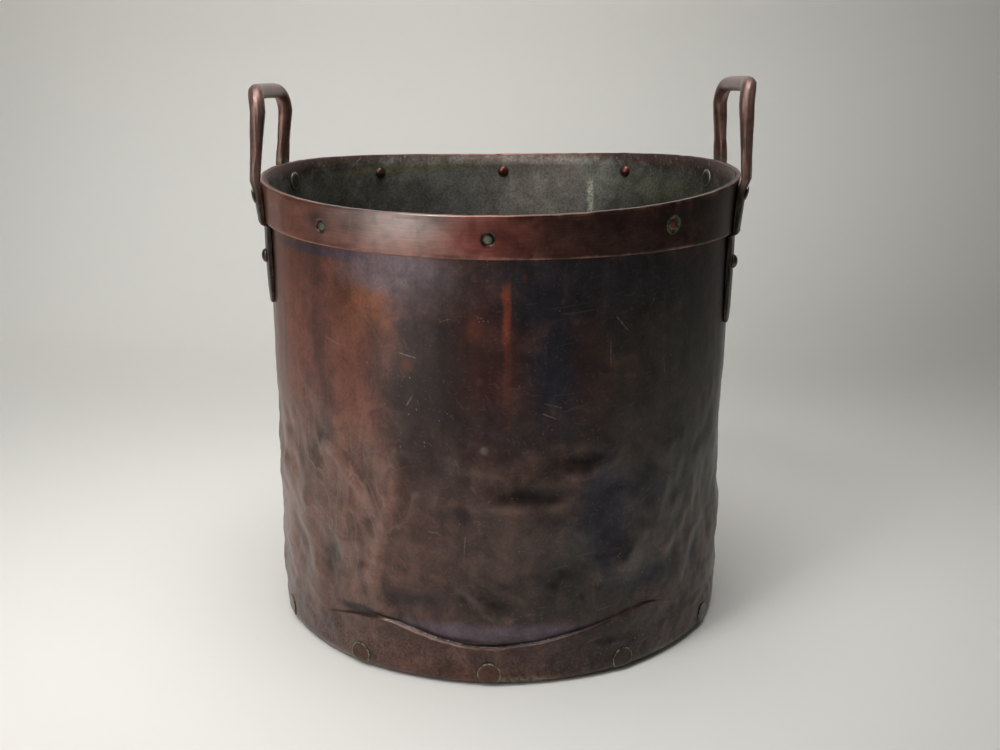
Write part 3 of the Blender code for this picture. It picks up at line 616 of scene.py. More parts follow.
# short scratches: start azimuth and height in mm, end azimuth and height in mm, strength
wallScratches = (
    (-43.1, 303.5, -40.1, 300.2, 0.7), (-40.1, 300.2, -36.6, 298.8, 0.5), (-21.9, 300.1, -18.3, 297.1, 0.8),
    (26.7, 329, 29.6, 316.6, 0.8), (25.3, 309.9, 25.5, 286.7, 0.6), (10.2, 259.9, 14, 255.5, 0.5),
    (9.8, 251.3, 12.7, 246.3, 0.7), (-20.5, 255.7, -19.2, 264, 0.8), (-7.5, 141.9, -7.8, 125.3, 0.5),
    (-16, 144.5, -13.9, 143.6, 0.5), (40.4, 286, 40.9, 273.2, 0.4), (-12.5, 329.1, -10.3, 332, 0.4),
    (-78, 280, -74, 262, 0.6), (84, 240, 90, 252, 0.6), (118, 300, 121, 278, 0.6), (140, 210, 149, 204, 0.6),
    (163, 310, 165, 286, 0.6), (-168, 250, -160, 262, 0.6), (-140, 190, -137, 170, 0.6),
    (-118, 320, -112, 312, 0.6), (-100, 150, -97, 132, 0.5))
# small orange flecks where the patina is rubbed through: azimuth; height, half width and half height in mm
wallFlecks = (
    (-5.1, 366.4, 2.2, 3), (-20.5, 290.3, 5, 6), (5.7, 366.4, 1.6, 3), (14, 345.5, 1.4, 2),
    (-4.9, 323.5, 6, 8), (-4.1, 279.6, 2.2, 2.5), (115, 350, 4, 6), (-128, 345, 3, 5), (170, 355, 3, 4))
# stains inside, and a painted pool of light, measured from the back
insideStainsAndPaintedLight = (
    # the pale spots at 4 and 10 are stains and in part a painted pool of light on the back of the inside
    (4, 340, 120, 100, (290, 280, 248), 75, 70), (10, 360, 60, 60, (370, 330, 288), 65, 70),
    (-70, 330, 120, 110, (160, 157, 138), 70, 70), (60, 330, 85, 110, (86, 86, 72), 78, 70),
    (-30, 403.5, 85, 4.5, (300, 280, 160), 70, 60), (50, 385, 55, 18, (220, 220, 140), 50, 80),
    (6, 407, 60, 12, (170, 140, 115), 70, 80), (0, 423.5, 900, 13, (85, 48, 40), 92, 50))


def scratchMask(graph, flat):
    # the strongest of all the drawn scratches
    lines = []
    for startTurn, startLevel, endTurn, endLevel, strength in wallScratches:
        line = graph.group(scratch, Unrolled=flat, Start=(alongWall(startTurn), startLevel / 1000, 0.0),
                           Way=(alongWall(endTurn - startTurn), (endLevel - startLevel) / 1000, 0.0),
                           Width=wall["scratchWidth"])[0]
        lines.append(graph.times(line, strength))
    return graph.chain("MAXIMUM", *lines)


def streakMask(graph, along, streak, wander):
    # a soft upright band at one azimuth, with a wandering edge
    offset = graph.calc("ADD", graph.calc("SUBTRACT", along, alongWall(streak["turn"])), wander)
    return graph.ramp(graph.calc("ABSOLUTE", offset), 0.3 * streak["half"], 1.5 * streak["half"], 1.0, 0.0)


def wallOutside(graph, place, age, flat, ragged):
    # patina spots with painted reflections, sheen and shade, the hot seam streak, crests rubbed paler and
    # hollows dirtier, in part painted highlight and shade, a painted highlight on the crease lip, flecks,
    # scratches, specks and a green foot
    mottle, run, grit = (graph.centred(age[label]) for label in ("Mottle", "Run", "Grit"))
    along, level, _ = graph.split(flat)
    base = layTints(graph, graph.mottled(age, (44, 26, 22), (80, 43, 34)), flat, ragged, wallTintsAndPaintedLight)
    # painted reflection of the floor on the tucked-in wall above the crease
    base = graph.blend(graph.mark("tucked"), base, layTints(graph, base, flat, ragged, (wall["creasePaintedReflection"],)))
    streak, top = wall["seam"], wall["seam"]["top"]
    seam = graph.times(streakMask(graph, along, streak, graph.times(mottle, 0.007)),
                       graph.ramp(level, top - 0.012, top + 0.004, 1.0, 0.0),
                       graph.ramp(age["Run"], 0.36, 0.6, 0.35, 1.0))
    cool = graph.times(seam, graph.ramp(level, streak["bottom"], top - 0.06))
    hot = graph.times(seam, graph.ramp(level, top - 0.062, top - 0.03), 0.6)
    base = graph.blend(hot, graph.blend(cool, base, streak["cool"]), streak["hot"])
    shade = graph.times(graph.ramp(run, -0.25, 0.25, 0.86, 1.14), graph.ramp(mottle, -0.3, 0.3, 0.62, 1.38),
                        graph.ramp(age["Grit"], 0.25, 0.75, 0.84, 1.16))
    patchy = graph.times(graph.ramp(level, 0.03, 0.045, 1.0, 0.0), graph.calc("ADD", mottle, grit))
    base = graph.scale(base, graph.timesPlus(patchy, 1.3, shade))
    # crests paler and hollows darker: partly rubbed patina and dirt, partly painted highlight and shade
    crest = graph.mark("crest")
    dirtAndShade = graph.times(graph.ramp(crest, 0.0, 0.5, 1.0, 0.0), graph.ramp(age["Mottle"], 0.3, 0.7, 0.8, 0.55))
    base = graph.blend(dirtAndShade, base, (12, 10, 10))
    rubbed = graph.times(graph.ramp(crest, 0.56, 1.0), graph.ramp(age["Mottle"], 0.35, 0.65, 0.2, 0.6))
    base = graph.blend(rubbed, base, graph.blend(0.2, graph.scale(base, 1.5), (220, 170, 145)))
    # painted highlight along the lip of the crease
    lip = graph.times(graph.mark("lip"), graph.ramp(age["Mottle"], 0.35, 0.65, 0.3, 0.85))
    base = graph.blend(lip, base, (230, 130, 75))
    base = layTints(graph, base, flat, ragged, [(*fleck, (300, 85, 35), 20, 70) for fleck in wallFlecks])
    scratches = graph.times(scratchMask(graph, flat), graph.ramp(age["Grit"], 0.3, 0.6, 0.2, 0.75))
    base = graph.blend(scratches, base, (300, 240, 190))
    base = wearMarks(graph, age, base, 0.14, (220, 140, 110), 0.65, (300, 250, 190))
    foot = graph.times(graph.ramp(level, 0.002, 0.012, 0.75, 0.0), graph.ramp(age["Cloud"], 0.42, 0.6))
    return graph.group(verdigris, Place=place, Colour=base, Mask=foot)["Colour"]


def wallInside(graph, age, flat, ragged):
    # dull tin with stains, a painted pool of light, a lime run, pale specks and fine marks
    mottle = graph.centred(age["Mottle"])
    along, level, _ = graph.split(flat)
    tin = layTints(graph, graph.mottled(age, (146, 145, 121), (248, 244, 209)), flat, ragged, insideStainsAndPaintedLight)
    streak = wall["lime"]
    lime = graph.times(streakMask(graph, along, streak, graph.times(mottle, 0.006)),
                       graph.ramp(level, streak["top"] - 0.02, streak["top"], 1.0, 0.0),
                       graph.ramp(level, streak["bottom"], streak["top"] - 0.05),
                       graph.ramp(age["Grit"], 0.35, 0.6, 0.35, 1.0))
    tin = graph.blend(lime, tin, streak["colour"])
    shade = graph.times(graph.ramp(age["Grit"], 0.25, 0.75, 0.68, 1.32),
                        graph.ramp(mottle, -0.3, 0.3, 0.7, 1.3))
    return wearMarks(graph, age, graph.scale(tin, shade), 0.35, (340, 330, 290), 0.5, (360, 360, 300))


def wrinkleLines(graph, age, flat, ragged):
    # thin lines where a slow, slanted noise crosses its middle, broken up, in the crumpled part of the wall
    slow = graph.noise(graph.stretched(flat, (1.0, 0.5, 1.0), (0.0, 0.0, 0.45)), 24.0, 2.5, 0.55, 0.7)
    line = graph.ramp(graph.calc("ABSOLUTE", graph.centred(slow)), 0.0, 0.04, 1.0, 0.0)
    return graph.times(line, graph.ramp(age["Cloud"], 0.3, 0.48),
                       spotMask(graph, flat, ragged, *wall["crumpled"], 0.6))


def wallMaterial():
    material, graph, shader, place, age = newMaterial(
        "patinated wall", metallic=0.8, coatWeight=0.32, coatRoughness=0.2, grain=1.0)
    front, back = unroll(graph, place, 1.0), unroll(graph, place, -1.0)
    ragged = graph.times(graph.centred(age["Cloud"]), 1.3)
    ragged = graph.timesPlus(graph.centred(age["Mottle"]), 1.1, ragged)
    ragged = graph.timesPlus(graph.centred(age["Run"]), 0.25, ragged)
    ragged = graph.timesPlus(graph.centred(graph.noise(place, 120.0, 5.0, 0.65)), 1.1, ragged)
    outside = wallOutside(graph, place, age, front, ragged)
    wrinkles = wrinkleLines(graph, age, front, ragged)
    outside = graph.blend(graph.times(wrinkles, 0.3), outside, (230, 160, 130))
    inside = graph.mark("inside")
    # a duller patch on the right
    matt = graph.band(graph.split(front)[0], 0.15, 0.21, 0.25, 0.29)
    rough = graph.timesPlus(age["Mottle"], 0.2, 0.32)
    rough = graph.timesPlus(matt, 0.08, graph.timesPlus(inside, 0.16, rough))
    height = graph.calc("ADD", graph.times(age["Grit"], 0.25), graph.times(age["Mottle"], 0.75))
    shine = graph.times(graph.ramp(inside, 0.0, 1.0, 0.26, 0.05), graph.ramp(matt, 0.0, 1.0, 1.0, 0.6))
    graph.join(shine, shader["Coat Weight"])
    feed(graph, shader, graph.blend(inside, outside, wallInside(graph, age, back, ragged)), rough,
         graph.timesPlus(wrinkles, 2.2, height), 0.3, 0.0006)
    return material


# Hoop

hoop = {"thickness": 0.0042, "round": 0.0014, "columns": 480, "faceRows": 24, "edgeRows": 5, "extra": 26,
        "span": 0.034, "middle": 0.0055, "dint": 0.00016, "nick": 0.0001, "nickReach": 0.004,
        "nickFade": 0.003, "closest": 0.0002}
hoopRivet = {"drop": 0.019, "head": 0.006, "headHeight": 0.0042, "shank": 0.004, "tail": 0.0045,
             "sink": 0.0008, "recess": 0.0056, "depth": 0.0022, "crown": 0.0003,
             "azimuths": (-41.5, -2.0, 40.5, 142.0, 179.5, -143.0)}
baseRivet = {"count": 11, "start": -2.2, "height": 0.013, "head": 0.0105, "proud": 0.0011, "tail": 0.0065,
             "tailProud": 0.0018, "shank": 0.004, "sides": 44,
             "zones": {"dark": (0.3, 2.0), "pale": (4.5, 5.3)}}


def crowdedAngles():
    # even steps round the kettle, with extra columns close to the rivets
    close = np.linspace(-hoop["span"], hoop["span"], hoop["extra"])
    angles = [math.radians(degrees) + close for degrees in hoopRivet["azimuths"]]
    angles = np.sort(np.concatenate([circle(hoop["columns"]) - np.pi, *angles]))
    return angles[np.concatenate([[True], np.diff(angles) > hoop["closest"]])]


def recesses(azimuth, height):
    # conical sinks round the six hoop rivets
    depth = 0.0
    middle = wall["radius"] + hoop["middle"]
    for degrees in hoopRivet["azimuths"]:
        level = rimTop(math.radians(degrees)) - hoopRivet["drop"]
        gap = np.hypot(np.radians(angleFrom(azimuth, degrees)) * middle, height - level)
        share = (hoopRivet["recess"] - gap) / (hoopRivet["recess"] - hoopRivet["shank"])
        depth = np.maximum(depth, hoopRivet["depth"] * np.clip(share, 0, 1))
    return depth


def hoopGrid():
    # rounded bar section carried round the rim; the edge attribute is 1 on its worn corners
    azimuth = crowdedAngles()[:, None]
    turn = quarter(hoop["edgeRows"])[None, :]
    top, bottom, curve = rimTop(azimuth), hoopBottom(azimuth), hoop["round"]
    bulge = hoop["thickness"] - curve
    share = np.linspace(0, 1, hoop["faceRows"] + 2)[None, 1:-1]
    faceHeight = bottom + curve + (top - bottom - 2 * curve) * share
    faceOut = hoop["thickness"] - recesses(azimuth, faceHeight)
    faceOut = faceOut + hoop["dint"] * waveNoise(azimuth, faceHeight, 0.05, 21, 0.6)
    ones = np.ones_like(azimuth)
    out = np.concatenate([0 * ones, (bulge + curve * np.sin(turn)) * ones, faceOut,
                          (bulge + curve * np.cos(turn)) * ones, 0 * ones], axis=1)
    height = np.concatenate([bottom, bottom + curve * (1 - np.cos(turn)), faceHeight,
                             top - curve * (1 - np.sin(turn)), top], axis=1)
    nick = hoop["nick"] * waveNoise(azimuth, 0.0 * azimuth, 0.02, 25)
    height = height + nick * smoothStep((height - top + hoop["nickReach"]) / hoop["nickFade"])
    corner = [1.0] * hoop["edgeRows"]
    edge = np.array([0.3, *corner, *[0.0] * hoop["faceRows"], *corner, 0.7])
    return polar(wall["radius"] + clearance + flareOut(height) + out, azimuth, height), edge


# as wallTintsAndPaintedLight
hoopTintsAndPaintedHighlight = (
    # the pale spots at -22 and -21 are a painted highlight, the reflection of the bright floor
    (-60, 402, 80, 40, (390, 156, 112), 80, 70), (-22, 400, 58, 40, (215, 140, 125), 60, 80),
    (-21, 413, 54, 17, (280, 245, 235), 75, 90), (-44, 398, 12, 12, (130, 72, 80), 55, 70),
    (-1, 402, 34, 18, (360, 90, 72), 75, 70), (27, 400, 85, 40, (54, 29, 25), 88, 70),
    (66, 400, 105, 40, (18, 12, 9), 94, 70), (110, 400, 100, 40, (80, 36, 28), 70, 70),
    (-150, 400, 120, 40, (110, 45, 34), 70, 70))
# azimuth, inner and outer radius, strength of the green round the rivets; within about the inner
# radius, painted shade darkens the recess
hoopRivetGreensAndShade = ((40.5, 0.0052, 0.0086, 0.8), (-2.0, 0.0056, 0.0068, 0.15), (-41.5, 0.005, 0.0062, 0.1),
              (142.0, 0.005, 0.007, 0.6), (-143.0, 0.005, 0.0075, 0.6))


def hoopMaterial():
    # mottled and brushed copper with a painted highlight on the left front, rubbed corners, painted shade
    # in the rivet recesses and green round some rivets
    material, graph, shader, place, age = newMaterial(
        "hoop copper", metallic=0.9, coatWeight=0.1, coatRoughness=0.22, grain=1.3)
    front = unroll(graph, place, 1.0)
    ragged = graph.timesPlus(graph.centred(age["Mottle"]), 0.8, graph.centred(age["Cloud"]))
    base = layTints(graph, graph.mottled(age, (175, 69, 54), (265, 106, 82)), front, ragged, hoopTintsAndPaintedHighlight)
    brushed = graph.noise(graph.stretched(front, (0.04, 1.0, 1.0)), 900.0, 3.0)
    shade = graph.times(graph.ramp(brushed, 0.3, 0.7, 0.9, 1.1),
                        graph.ramp(age["Mottle"], 0.25, 0.75, 0.76, 1.24))
    base = wearMarks(graph, age, graph.scale(base, shade), 0.1, (340, 230, 180), 0.5, (35, 20, 16))
    worn = graph.times(graph.mark("edge"), graph.ramp(age["Mottle"], 0.42, 0.68, 0.05, 0.65))
    base = graph.blend(worn, base, (300, 170, 125))
    rings = []
    for degrees, inner, outer, strength in hoopRivetGreensAndShade:
        level = float(rimTop(math.radians(degrees))) - hoopRivet["drop"]
        gap = graph.vector("DISTANCE", front, (alongWall(degrees), level, 0.0))["Value"]
        # painted shade in the recess round the rivet
        base = graph.blend(graph.ramp(gap, inner, inner + 0.0014, 0.85, 0.0), base, (22, 14, 12))
        rings.append(graph.times(graph.band(gap, inner - 0.0008, inner, outer - 0.0012, outer), strength))
    green = graph.group(verdigris, Place=place, Colour=base, Mask=graph.chain("MAXIMUM", *rings))
    rough = graph.timesPlus(green["Share"], 0.3, graph.timesPlus(age["Mottle"], 0.2, 0.24))
    height = graph.calc("ADD", graph.times(age["Grit"], 0.3), graph.times(brushed, 0.25))
    feed(graph, shader, green["Colour"], rough, height, 0.2, 0.0004)
    return material


# Base pan

pan = {"sheet": 0.002, "flange": 0.026, "columns": 240, "cornerRows": 9, "floorRows": 34, "hole": 0.004,
       "rise": 0.0003, "dish": 0.00012, "edge": 0.03}


def panGrid():
    # underside, corner, flange, inner corner and floor, from the middle out and back to the middle
    azimuth = circle(pan["columns"])[None, :]
    corner = wall["corner"]
    centre = wall["radius"] - corner
    outer = corner - wall["sheet"] - clearance
    inner = outer - pan["sheet"]
    turn = quarter(pan["cornerRows"])
    spread = np.linspace(pan["hole"], centre, pan["floorRows"])[:-1]
    flat = np.ones_like(spread)
    radius = np.concatenate([spread, centre + outer * np.sin(turn), [centre + outer, centre + inner],
                             centre + inner * np.sin(turn[::-1]), spread[::-1]])[:, None]
    height = np.concatenate([flat * (corner - outer), corner - outer * np.cos(turn), [pan["flange"]] * 2,
                             corner - inner * np.cos(turn[::-1]), flat * (corner - inner)])[:, None]
    upper = np.arange(len(radius))[:, None] >= len(radius) - len(spread)
    waves = waveNoise(radius * np.sin(azimuth) / wall["radius"], radius * np.cos(azimuth), 0.05, 31)
    dish = (pan["rise"] + pan["dish"] * waves) * upper * smoothStep((centre - radius) / pan["edge"])
    return polar(radius, azimuth, height + dish)


def panMaterial():
    material, graph, shader, place, age = newMaterial(
        "tinned floor", metallic=0.6, coatWeight=0.0, coatRoughness=0.3, grain=1.0)
    base = graph.mottled(age, (60, 62, 48), (130, 130, 105))
    base = graph.blend(graph.ramp(age["Cloud"], 0.52, 0.66, 0.0, 0.7), base, (85, 42, 28))
    base = graph.blend(graph.times(age["Scratch"], 0.4), base, (320, 310, 270))
    mask = graph.ramp(age["Cloud"], 0.3, 0.44, 0.5, 0.0)
    base = graph.group(verdigris, Place=place, Colour=base, Mask=mask)["Colour"]
    feed(graph, shader, base, graph.timesPlus(age["Mottle"], 0.2, 0.45), age["Grit"], 0.3, 0.0005)
    return material


# Handles

handle = {
    "middle": 91.1, "spacing": 0.13, "grip": 0.0138, "corner": 0.019, "fall": 0.008, "shoulderLength": 0.022,
    "rimWidth": 0.0175, "rimThick": 0.0084, "shoulderWidth": 0.021, "shoulderThick": 0.0064,
    "strapWidth": 0.025, "strapThick": 0.0046, "footWidth": 0.012, "footThick": 0.0026, "footTaper": 0.014,
    "joggle": 0.0028, "margin": 0.0005, "sides": 48, "bendRows": 22, "barRows": 16, "softening": 14,
    "forging": 0.02,
    "legs": (("front", -1, 0.0125), ("rear", 1, 0.0186)),
    "loops": {"handle_left": {"side": -1, "top": 0.5055, "reach": 0.0062, "standOff": 0.0004, "foot": 0.312,
                              "rivet": 0.355},
              "handle_right": {"side": 1, "top": 0.5119, "reach": 0.0105, "standOff": 0.0018, "foot": 0.293,
                               "rivet": 0.3495}},
}


def legAzimuth(loop, place):
    return loop["side"] * (math.radians(handle["middle"]) + place * handle["spacing"] / 2 / wall["radius"])


def bendStart(loop):
    return loop["top"] - handle["grip"] / 2 - handle["corner"]


def legSections(loop, azimuth, shoulder):
    # height, centre radius, thickness, width and squareness up one leg
    rim, bend = float(rimTop(azimuth)), bendStart(loop)
    foot, tip = loop["foot"], loop["foot"] + handle["footTaper"]
    stepEnd = float(hoopBottom(azimuth)) - handle["margin"]
    stepStart = stepEnd - handle["joggle"]
    runs = ((tip, stepStart, 14), (stepStart, stepEnd, 12), (stepEnd, rim, 14), (rim, bend, 24))
    heights = np.concatenate([foot + handle["footTaper"] * (1 - np.cos(quarter(12))),
                              *(np.linspace(low, high, steps)[1:] for low, high, steps in runs)])
    stops = (foot, tip, loop["rivet"], stepStart, shoulder, rim, bend)
    strap, wide, grip = handle["strapThick"], handle["strapWidth"], handle["grip"]
    thick = np.interp(heights, stops, (handle["footThick"], 0.8 * strap, strap, strap,
                                       handle["shoulderThick"], handle["rimThick"], grip))
    width = np.interp(heights, stops[1:],
                      (wide, wide, wide, handle["shoulderWidth"], handle["rimWidth"], grip))
    share = np.clip((heights - foot) / handle["footTaper"], 0, 1)
    tipWidth = handle["footWidth"] + (wide - handle["footWidth"]) * np.sqrt(1 - (1 - share) ** 2)
    square = np.interp(heights, (shoulder, rim + handle["shoulderLength"]), (6.0, 2.0))
    step = smoothStep((heights - stepStart) / handle["joggle"])
    lift = loop["standOff"] * smoothStep((heights - shoulder) / (rim - shoulder))
    face = wall["radius"] + clearance + flareOut(heights) + (hoop["thickness"] + clearance) * step + lift
    rimCentre = np.interp(rim, heights, face + thick / 2)
    lean = np.clip((heights - rim) / (bend - rim), 0, 1)
    aboveRim = rimCentre + (wall["radius"] + loop["reach"] - rimCentre) * lean
    centre = np.where(heights > rim, aboveRim, face + thick / 2)
    return heights, centre, thick, np.minimum(width, tipWidth), square


def softened(rings, first, last, rounds):
    # repeated three-point averages along the bar, with both ends held
    for _ in range(rounds):
        sides = rings[first - 1:last - 1] + rings[first + 1:last + 1]
        rings[first:last] = 0.5 * rings[first:last] + 0.25 * sides
    return rings


def handleGrid(loop, seed):
    # superellipse sections up a leg and round its bend, wrapped on the wall; a straight bar joins both bends
    middle = math.radians(loop["side"] * handle["middle"])
    half, grip, corner = handle["spacing"] / 2, handle["grip"], handle["corner"]
    bend = bendStart(loop)
    angles = quarter(handle["bendRows"])[1:]
    bends = len(angles)
    phase = circle(handle["sides"])
    halves = []
    for _, place, drop in handle["legs"]:
        azimuth = legAzimuth(loop, place)
        rim = float(rimTop(azimuth))
        heights, centre, thick, width, square = legSections(loop, azimuth, rim - drop)
        straight = np.full(len(heights), half)
        across = np.concatenate([straight, half - corner * (1 - np.cos(angles))])[:, None]
        level = np.concatenate([heights, bend + corner * np.sin(angles)])[:, None]
        turn = np.concatenate([0 * straight, angles])[:, None]
        ends = (wall["radius"] + loop["reach"], grip, grip, 2.0)
        centre, thick, width, square = (np.concatenate([values, np.full(bends, end)])[:, None]
                                        for values, end in zip((centre, thick, width, square), ends))
        forged = 1 + handle["forging"] * waveNoise(phase[None, :], level * 2, 0.1, seed + place, 0.5)
        outwards, sideways = (np.sign(wave) * np.abs(wave) ** (2 / square)
                              for wave in (np.cos(phase), np.sin(phase)))
        out = outwards * thick / 2
        out = np.where(out > 0, out * forged, out)
        sideStep = sideways * width / 2 * forged
        along = place * (across + sideStep * np.cos(turn))
        lift = smoothStep((level - rim) / (bend - rim))
        height = level + sideStep * np.sin(turn) - handle["fall"] * lift * along / handle["spacing"]
        halves.append(polar(centre + out, middle + loop["side"] * along / wall["radius"], height))
    share = np.linspace(0, 1, handle["barRows"])[1:-1, None, None]
    bar = halves[0][-1] * (1 - share) + halves[1][-1] * share
    rings = np.concatenate([halves[0], bar, halves[1][::-1]])
    first = len(halves[0]) - bends
    return softened(rings, first, len(rings) - first, handle["softening"])


def handleMaterial():
    # handled brown copper, straps blackened by dirt and painted shade, and a spot of green where the
    # rear legs meet the rim
    material, graph, shader, place, age = newMaterial(
        "handle copper", metallic=0.78, coatWeight=0.16, coatRoughness=0.25, grain=2.0)
    _, depth, level = graph.split(place)
    base = graph.mottled(age, (188, 98, 78), (318, 176, 142))
    base = graph.blend(graph.ramp(age["Cloud"], 0.5, 0.62, 0.0, 0.5), base, (200, 135, 122))
    rubbed = graph.times(graph.ramp(level, 0.478, 0.505, 0.0, 0.75), age["Cloud"])
    base = graph.blend(rubbed, base, (330, 250, 220))
    # straps darker below the rim: dirt and painted shade
    strap = graph.mottled(age, (26, 23, 20), (62, 54, 44))
    base = graph.blend(graph.ramp(level, 0.406, 0.44, 0.95, 0.0), base, strap)
    base = wearMarks(graph, age, base, 0.3, (320, 220, 170), 0.45, (300, 220, 170))
    mask = graph.times(graph.band(level, 0.418, 0.424, 0.427, 0.433),
                       graph.ramp(depth, 0.05, 0.07, 0.0, 0.8))
    base = graph.group(verdigris, Place=place, Colour=base, Mask=mask)["Colour"]
    feed(graph, shader, base, graph.timesPlus(age["Mottle"], 0.2, 0.34), age["Mottle"], 0.3, 0.0009)
    return material


# Rivets

strapRivet = {"head": 0.0064, "headHeights": {"shoulder": 0.0016, "strap": 0.004}, "tail": 0.009,
              "tailHeight": 0.0011, "shank": 0.004}
# name, dark and light colour, where the green ring begins and ends, green all over, tinned tail,
# painted shade round a sunk edge
rivetCoppers = {
    "red": ("red rivet", (100, 34, 26), (240, 80, 56), (0.93, 1.0)),
    "brown": ("brown rivet", (60, 34, 26), (120, 72, 52), (0.9, 1.0)),
    "grey": ("grey green rivet", (90, 85, 64), (230, 230, 190), (0.85, 1.0), 0.25, 0.0, 0.9),
    "strap": ("strap rivet", (48, 31, 25), (115, 70, 53), (0.93, 1.0), 0.0, 0.75),
    "foot": ("foot rivet", (60, 30, 22), (110, 55, 38), (0.88, 0.97)),
    "dark": ("dark foot rivet", (24, 17, 14), (50, 34, 26), (0.92, 0.99)),
    "pale": ("pale foot rivet", (92, 53, 43), (150, 88, 72), (0.97, 1.0)),
}
hoopCoppers = ("grey", "grey", "red", "red", "red", "brown")
# rows of a domed head
domeRows = 12


def turnedGrid(profile, azimuth, height, tilt, lean=0.0, sides=40):
    # a profile of radius and reach turned about an axis square to the wall; lean slopes its rows out and up
    spin = circle(sides)[None, :]
    profile = np.array(profile)
    across, up = profile[:, :1] * np.sin(spin), profile[:, :1] * np.cos(spin)
    reach = profile[:, 1:] + lean * up
    outward = wall["radius"] + float(flareOut(height)) + reach * math.cos(tilt) + up * math.sin(tilt)
    level = height - reach * math.sin(tilt) + up * math.cos(tilt)
    x = outward * math.sin(azimuth) + across * math.cos(azimuth)
    y = -outward * math.cos(azimuth) + across * math.sin(azimuth)
    return np.stack([x, y, level], axis=-1)


def dome(radius, start, height, first, last):
    # quarter-round head between two angles, measured from its rim
    angles = np.radians(np.linspace(first, last, domeRows))
    return [(radius * math.cos(angle), start + height * math.sin(angle)) for angle in angles]


def seatInside(head):
    return wall["radius"] - math.sqrt((wall["radius"] - wall["sheet"] - clearance) ** 2 - head ** 2)


def hoopRivets(coppers):
    tilt = math.atan2(wall["flare"], wall["hoopHeight"])
    head, shank, tail = hoopRivet["head"], hoopRivet["shank"], hoopRivet["tail"]
    seat, rise = seatInside(head), hoopRivet["crown"]
    face = clearance + hoop["thickness"]
    end = face - hoopRivet["sink"]
    profile = dome(head, -seat, -hoopRivet["headHeight"], 86, 4) + [
        (head, -seat), (shank, -seat), (shank, face - hoopRivet["depth"]), (tail, end - rise),
        (0.92 * tail, end), (0.5 * tail, end + rise), (0.1 * tail, end + rise)]
    ring = np.array([*np.linspace(0, 1, domeRows), 1, 1, 0, 1, 1, 0.5, 0.0])[:, None]
    for number, (degrees, copper) in enumerate(zip(hoopRivet["azimuths"], hoopCoppers), 1):
        azimuth = math.radians(degrees)
        grid = turnedGrid(profile, azimuth, float(rimTop(azimuth)) - hoopRivet["drop"], tilt)
        name = "hoop_rivet_%d" % number
        makePiece(name + "_fine", grid, coppers[copper], "rivet_copper", name, ring=ring)


def handleRivets(copper):
    radius, shank, deep = strapRivet["tail"], strapRivet["shank"], strapRivet["tailHeight"]
    seat = seatInside(radius)
    tail = [(0.03 * radius, -seat - deep), (0.6 * radius, -seat - deep), (0.9 * radius, -seat - 0.9 * deep),
            (radius, -seat - 0.4 * deep), (radius, -seat), (shank, -seat)]
    tilt = math.atan2(wall["flare"], wall["hoopHeight"])
    ring = np.array([0, 0.6, 0.9, 1, 1, 1, 0.5, *np.linspace(1, 0, domeRows)])[:, None]
    inner = (np.arange(len(ring)) < len(tail))[:, None]
    around = strapRivet["head"] * np.linspace(-1, 1, 5)
    for name, loop in handle["loops"].items():
        for word, place, drop in handle["legs"]:
            azimuth = legAzimuth(loop, place)
            shoulder = float(rimTop(azimuth)) - drop
            heights, centre, thick, _, _ = legSections(loop, azimuth, shoulder)
            for kind, height, tip in (("shoulder", shoulder, tilt), ("strap", loop["rivet"], 0.0)):
                outer = np.interp(height + around, heights, centre + thick / 2)
                outer = outer - wall["radius"] - flareOut(height)
                slope = (outer[-1] - outer[0]) / (around[-1] - around[0])
                seatOut = float(np.max(outer - slope * around)) + clearance
                proud = strapRivet["headHeights"][kind]
                head = [(shank, seatOut)] + dome(strapRivet["head"], seatOut, proud, 0, 87)
                lean = (1 - inner) * (slope - math.tan(tip))
                grid = turnedGrid(tail + head, azimuth, height, tip, lean)
                node = "%s_%s_%s_rivet" % (name, word, kind)
                makePiece(node + "_fine", grid, copper, "rivet_copper", node, ring=ring, inside=inner)


def cornerPoint(inset, along, across, offset, azimuth):
    # along runs up the wall from the top of the corner arc, and round the arc when negative
    corner = wall["corner"] - inset
    bend = np.maximum(-along, 0) / wall["corner"]
    level = wall["corner"] + np.maximum(along, 0) - (corner + offset) * np.sin(bend)
    reach = wall["radius"] - inset - corner + (corner + offset) * np.cos(bend)
    return polar(reach, azimuth + across / wall["radius"], level)


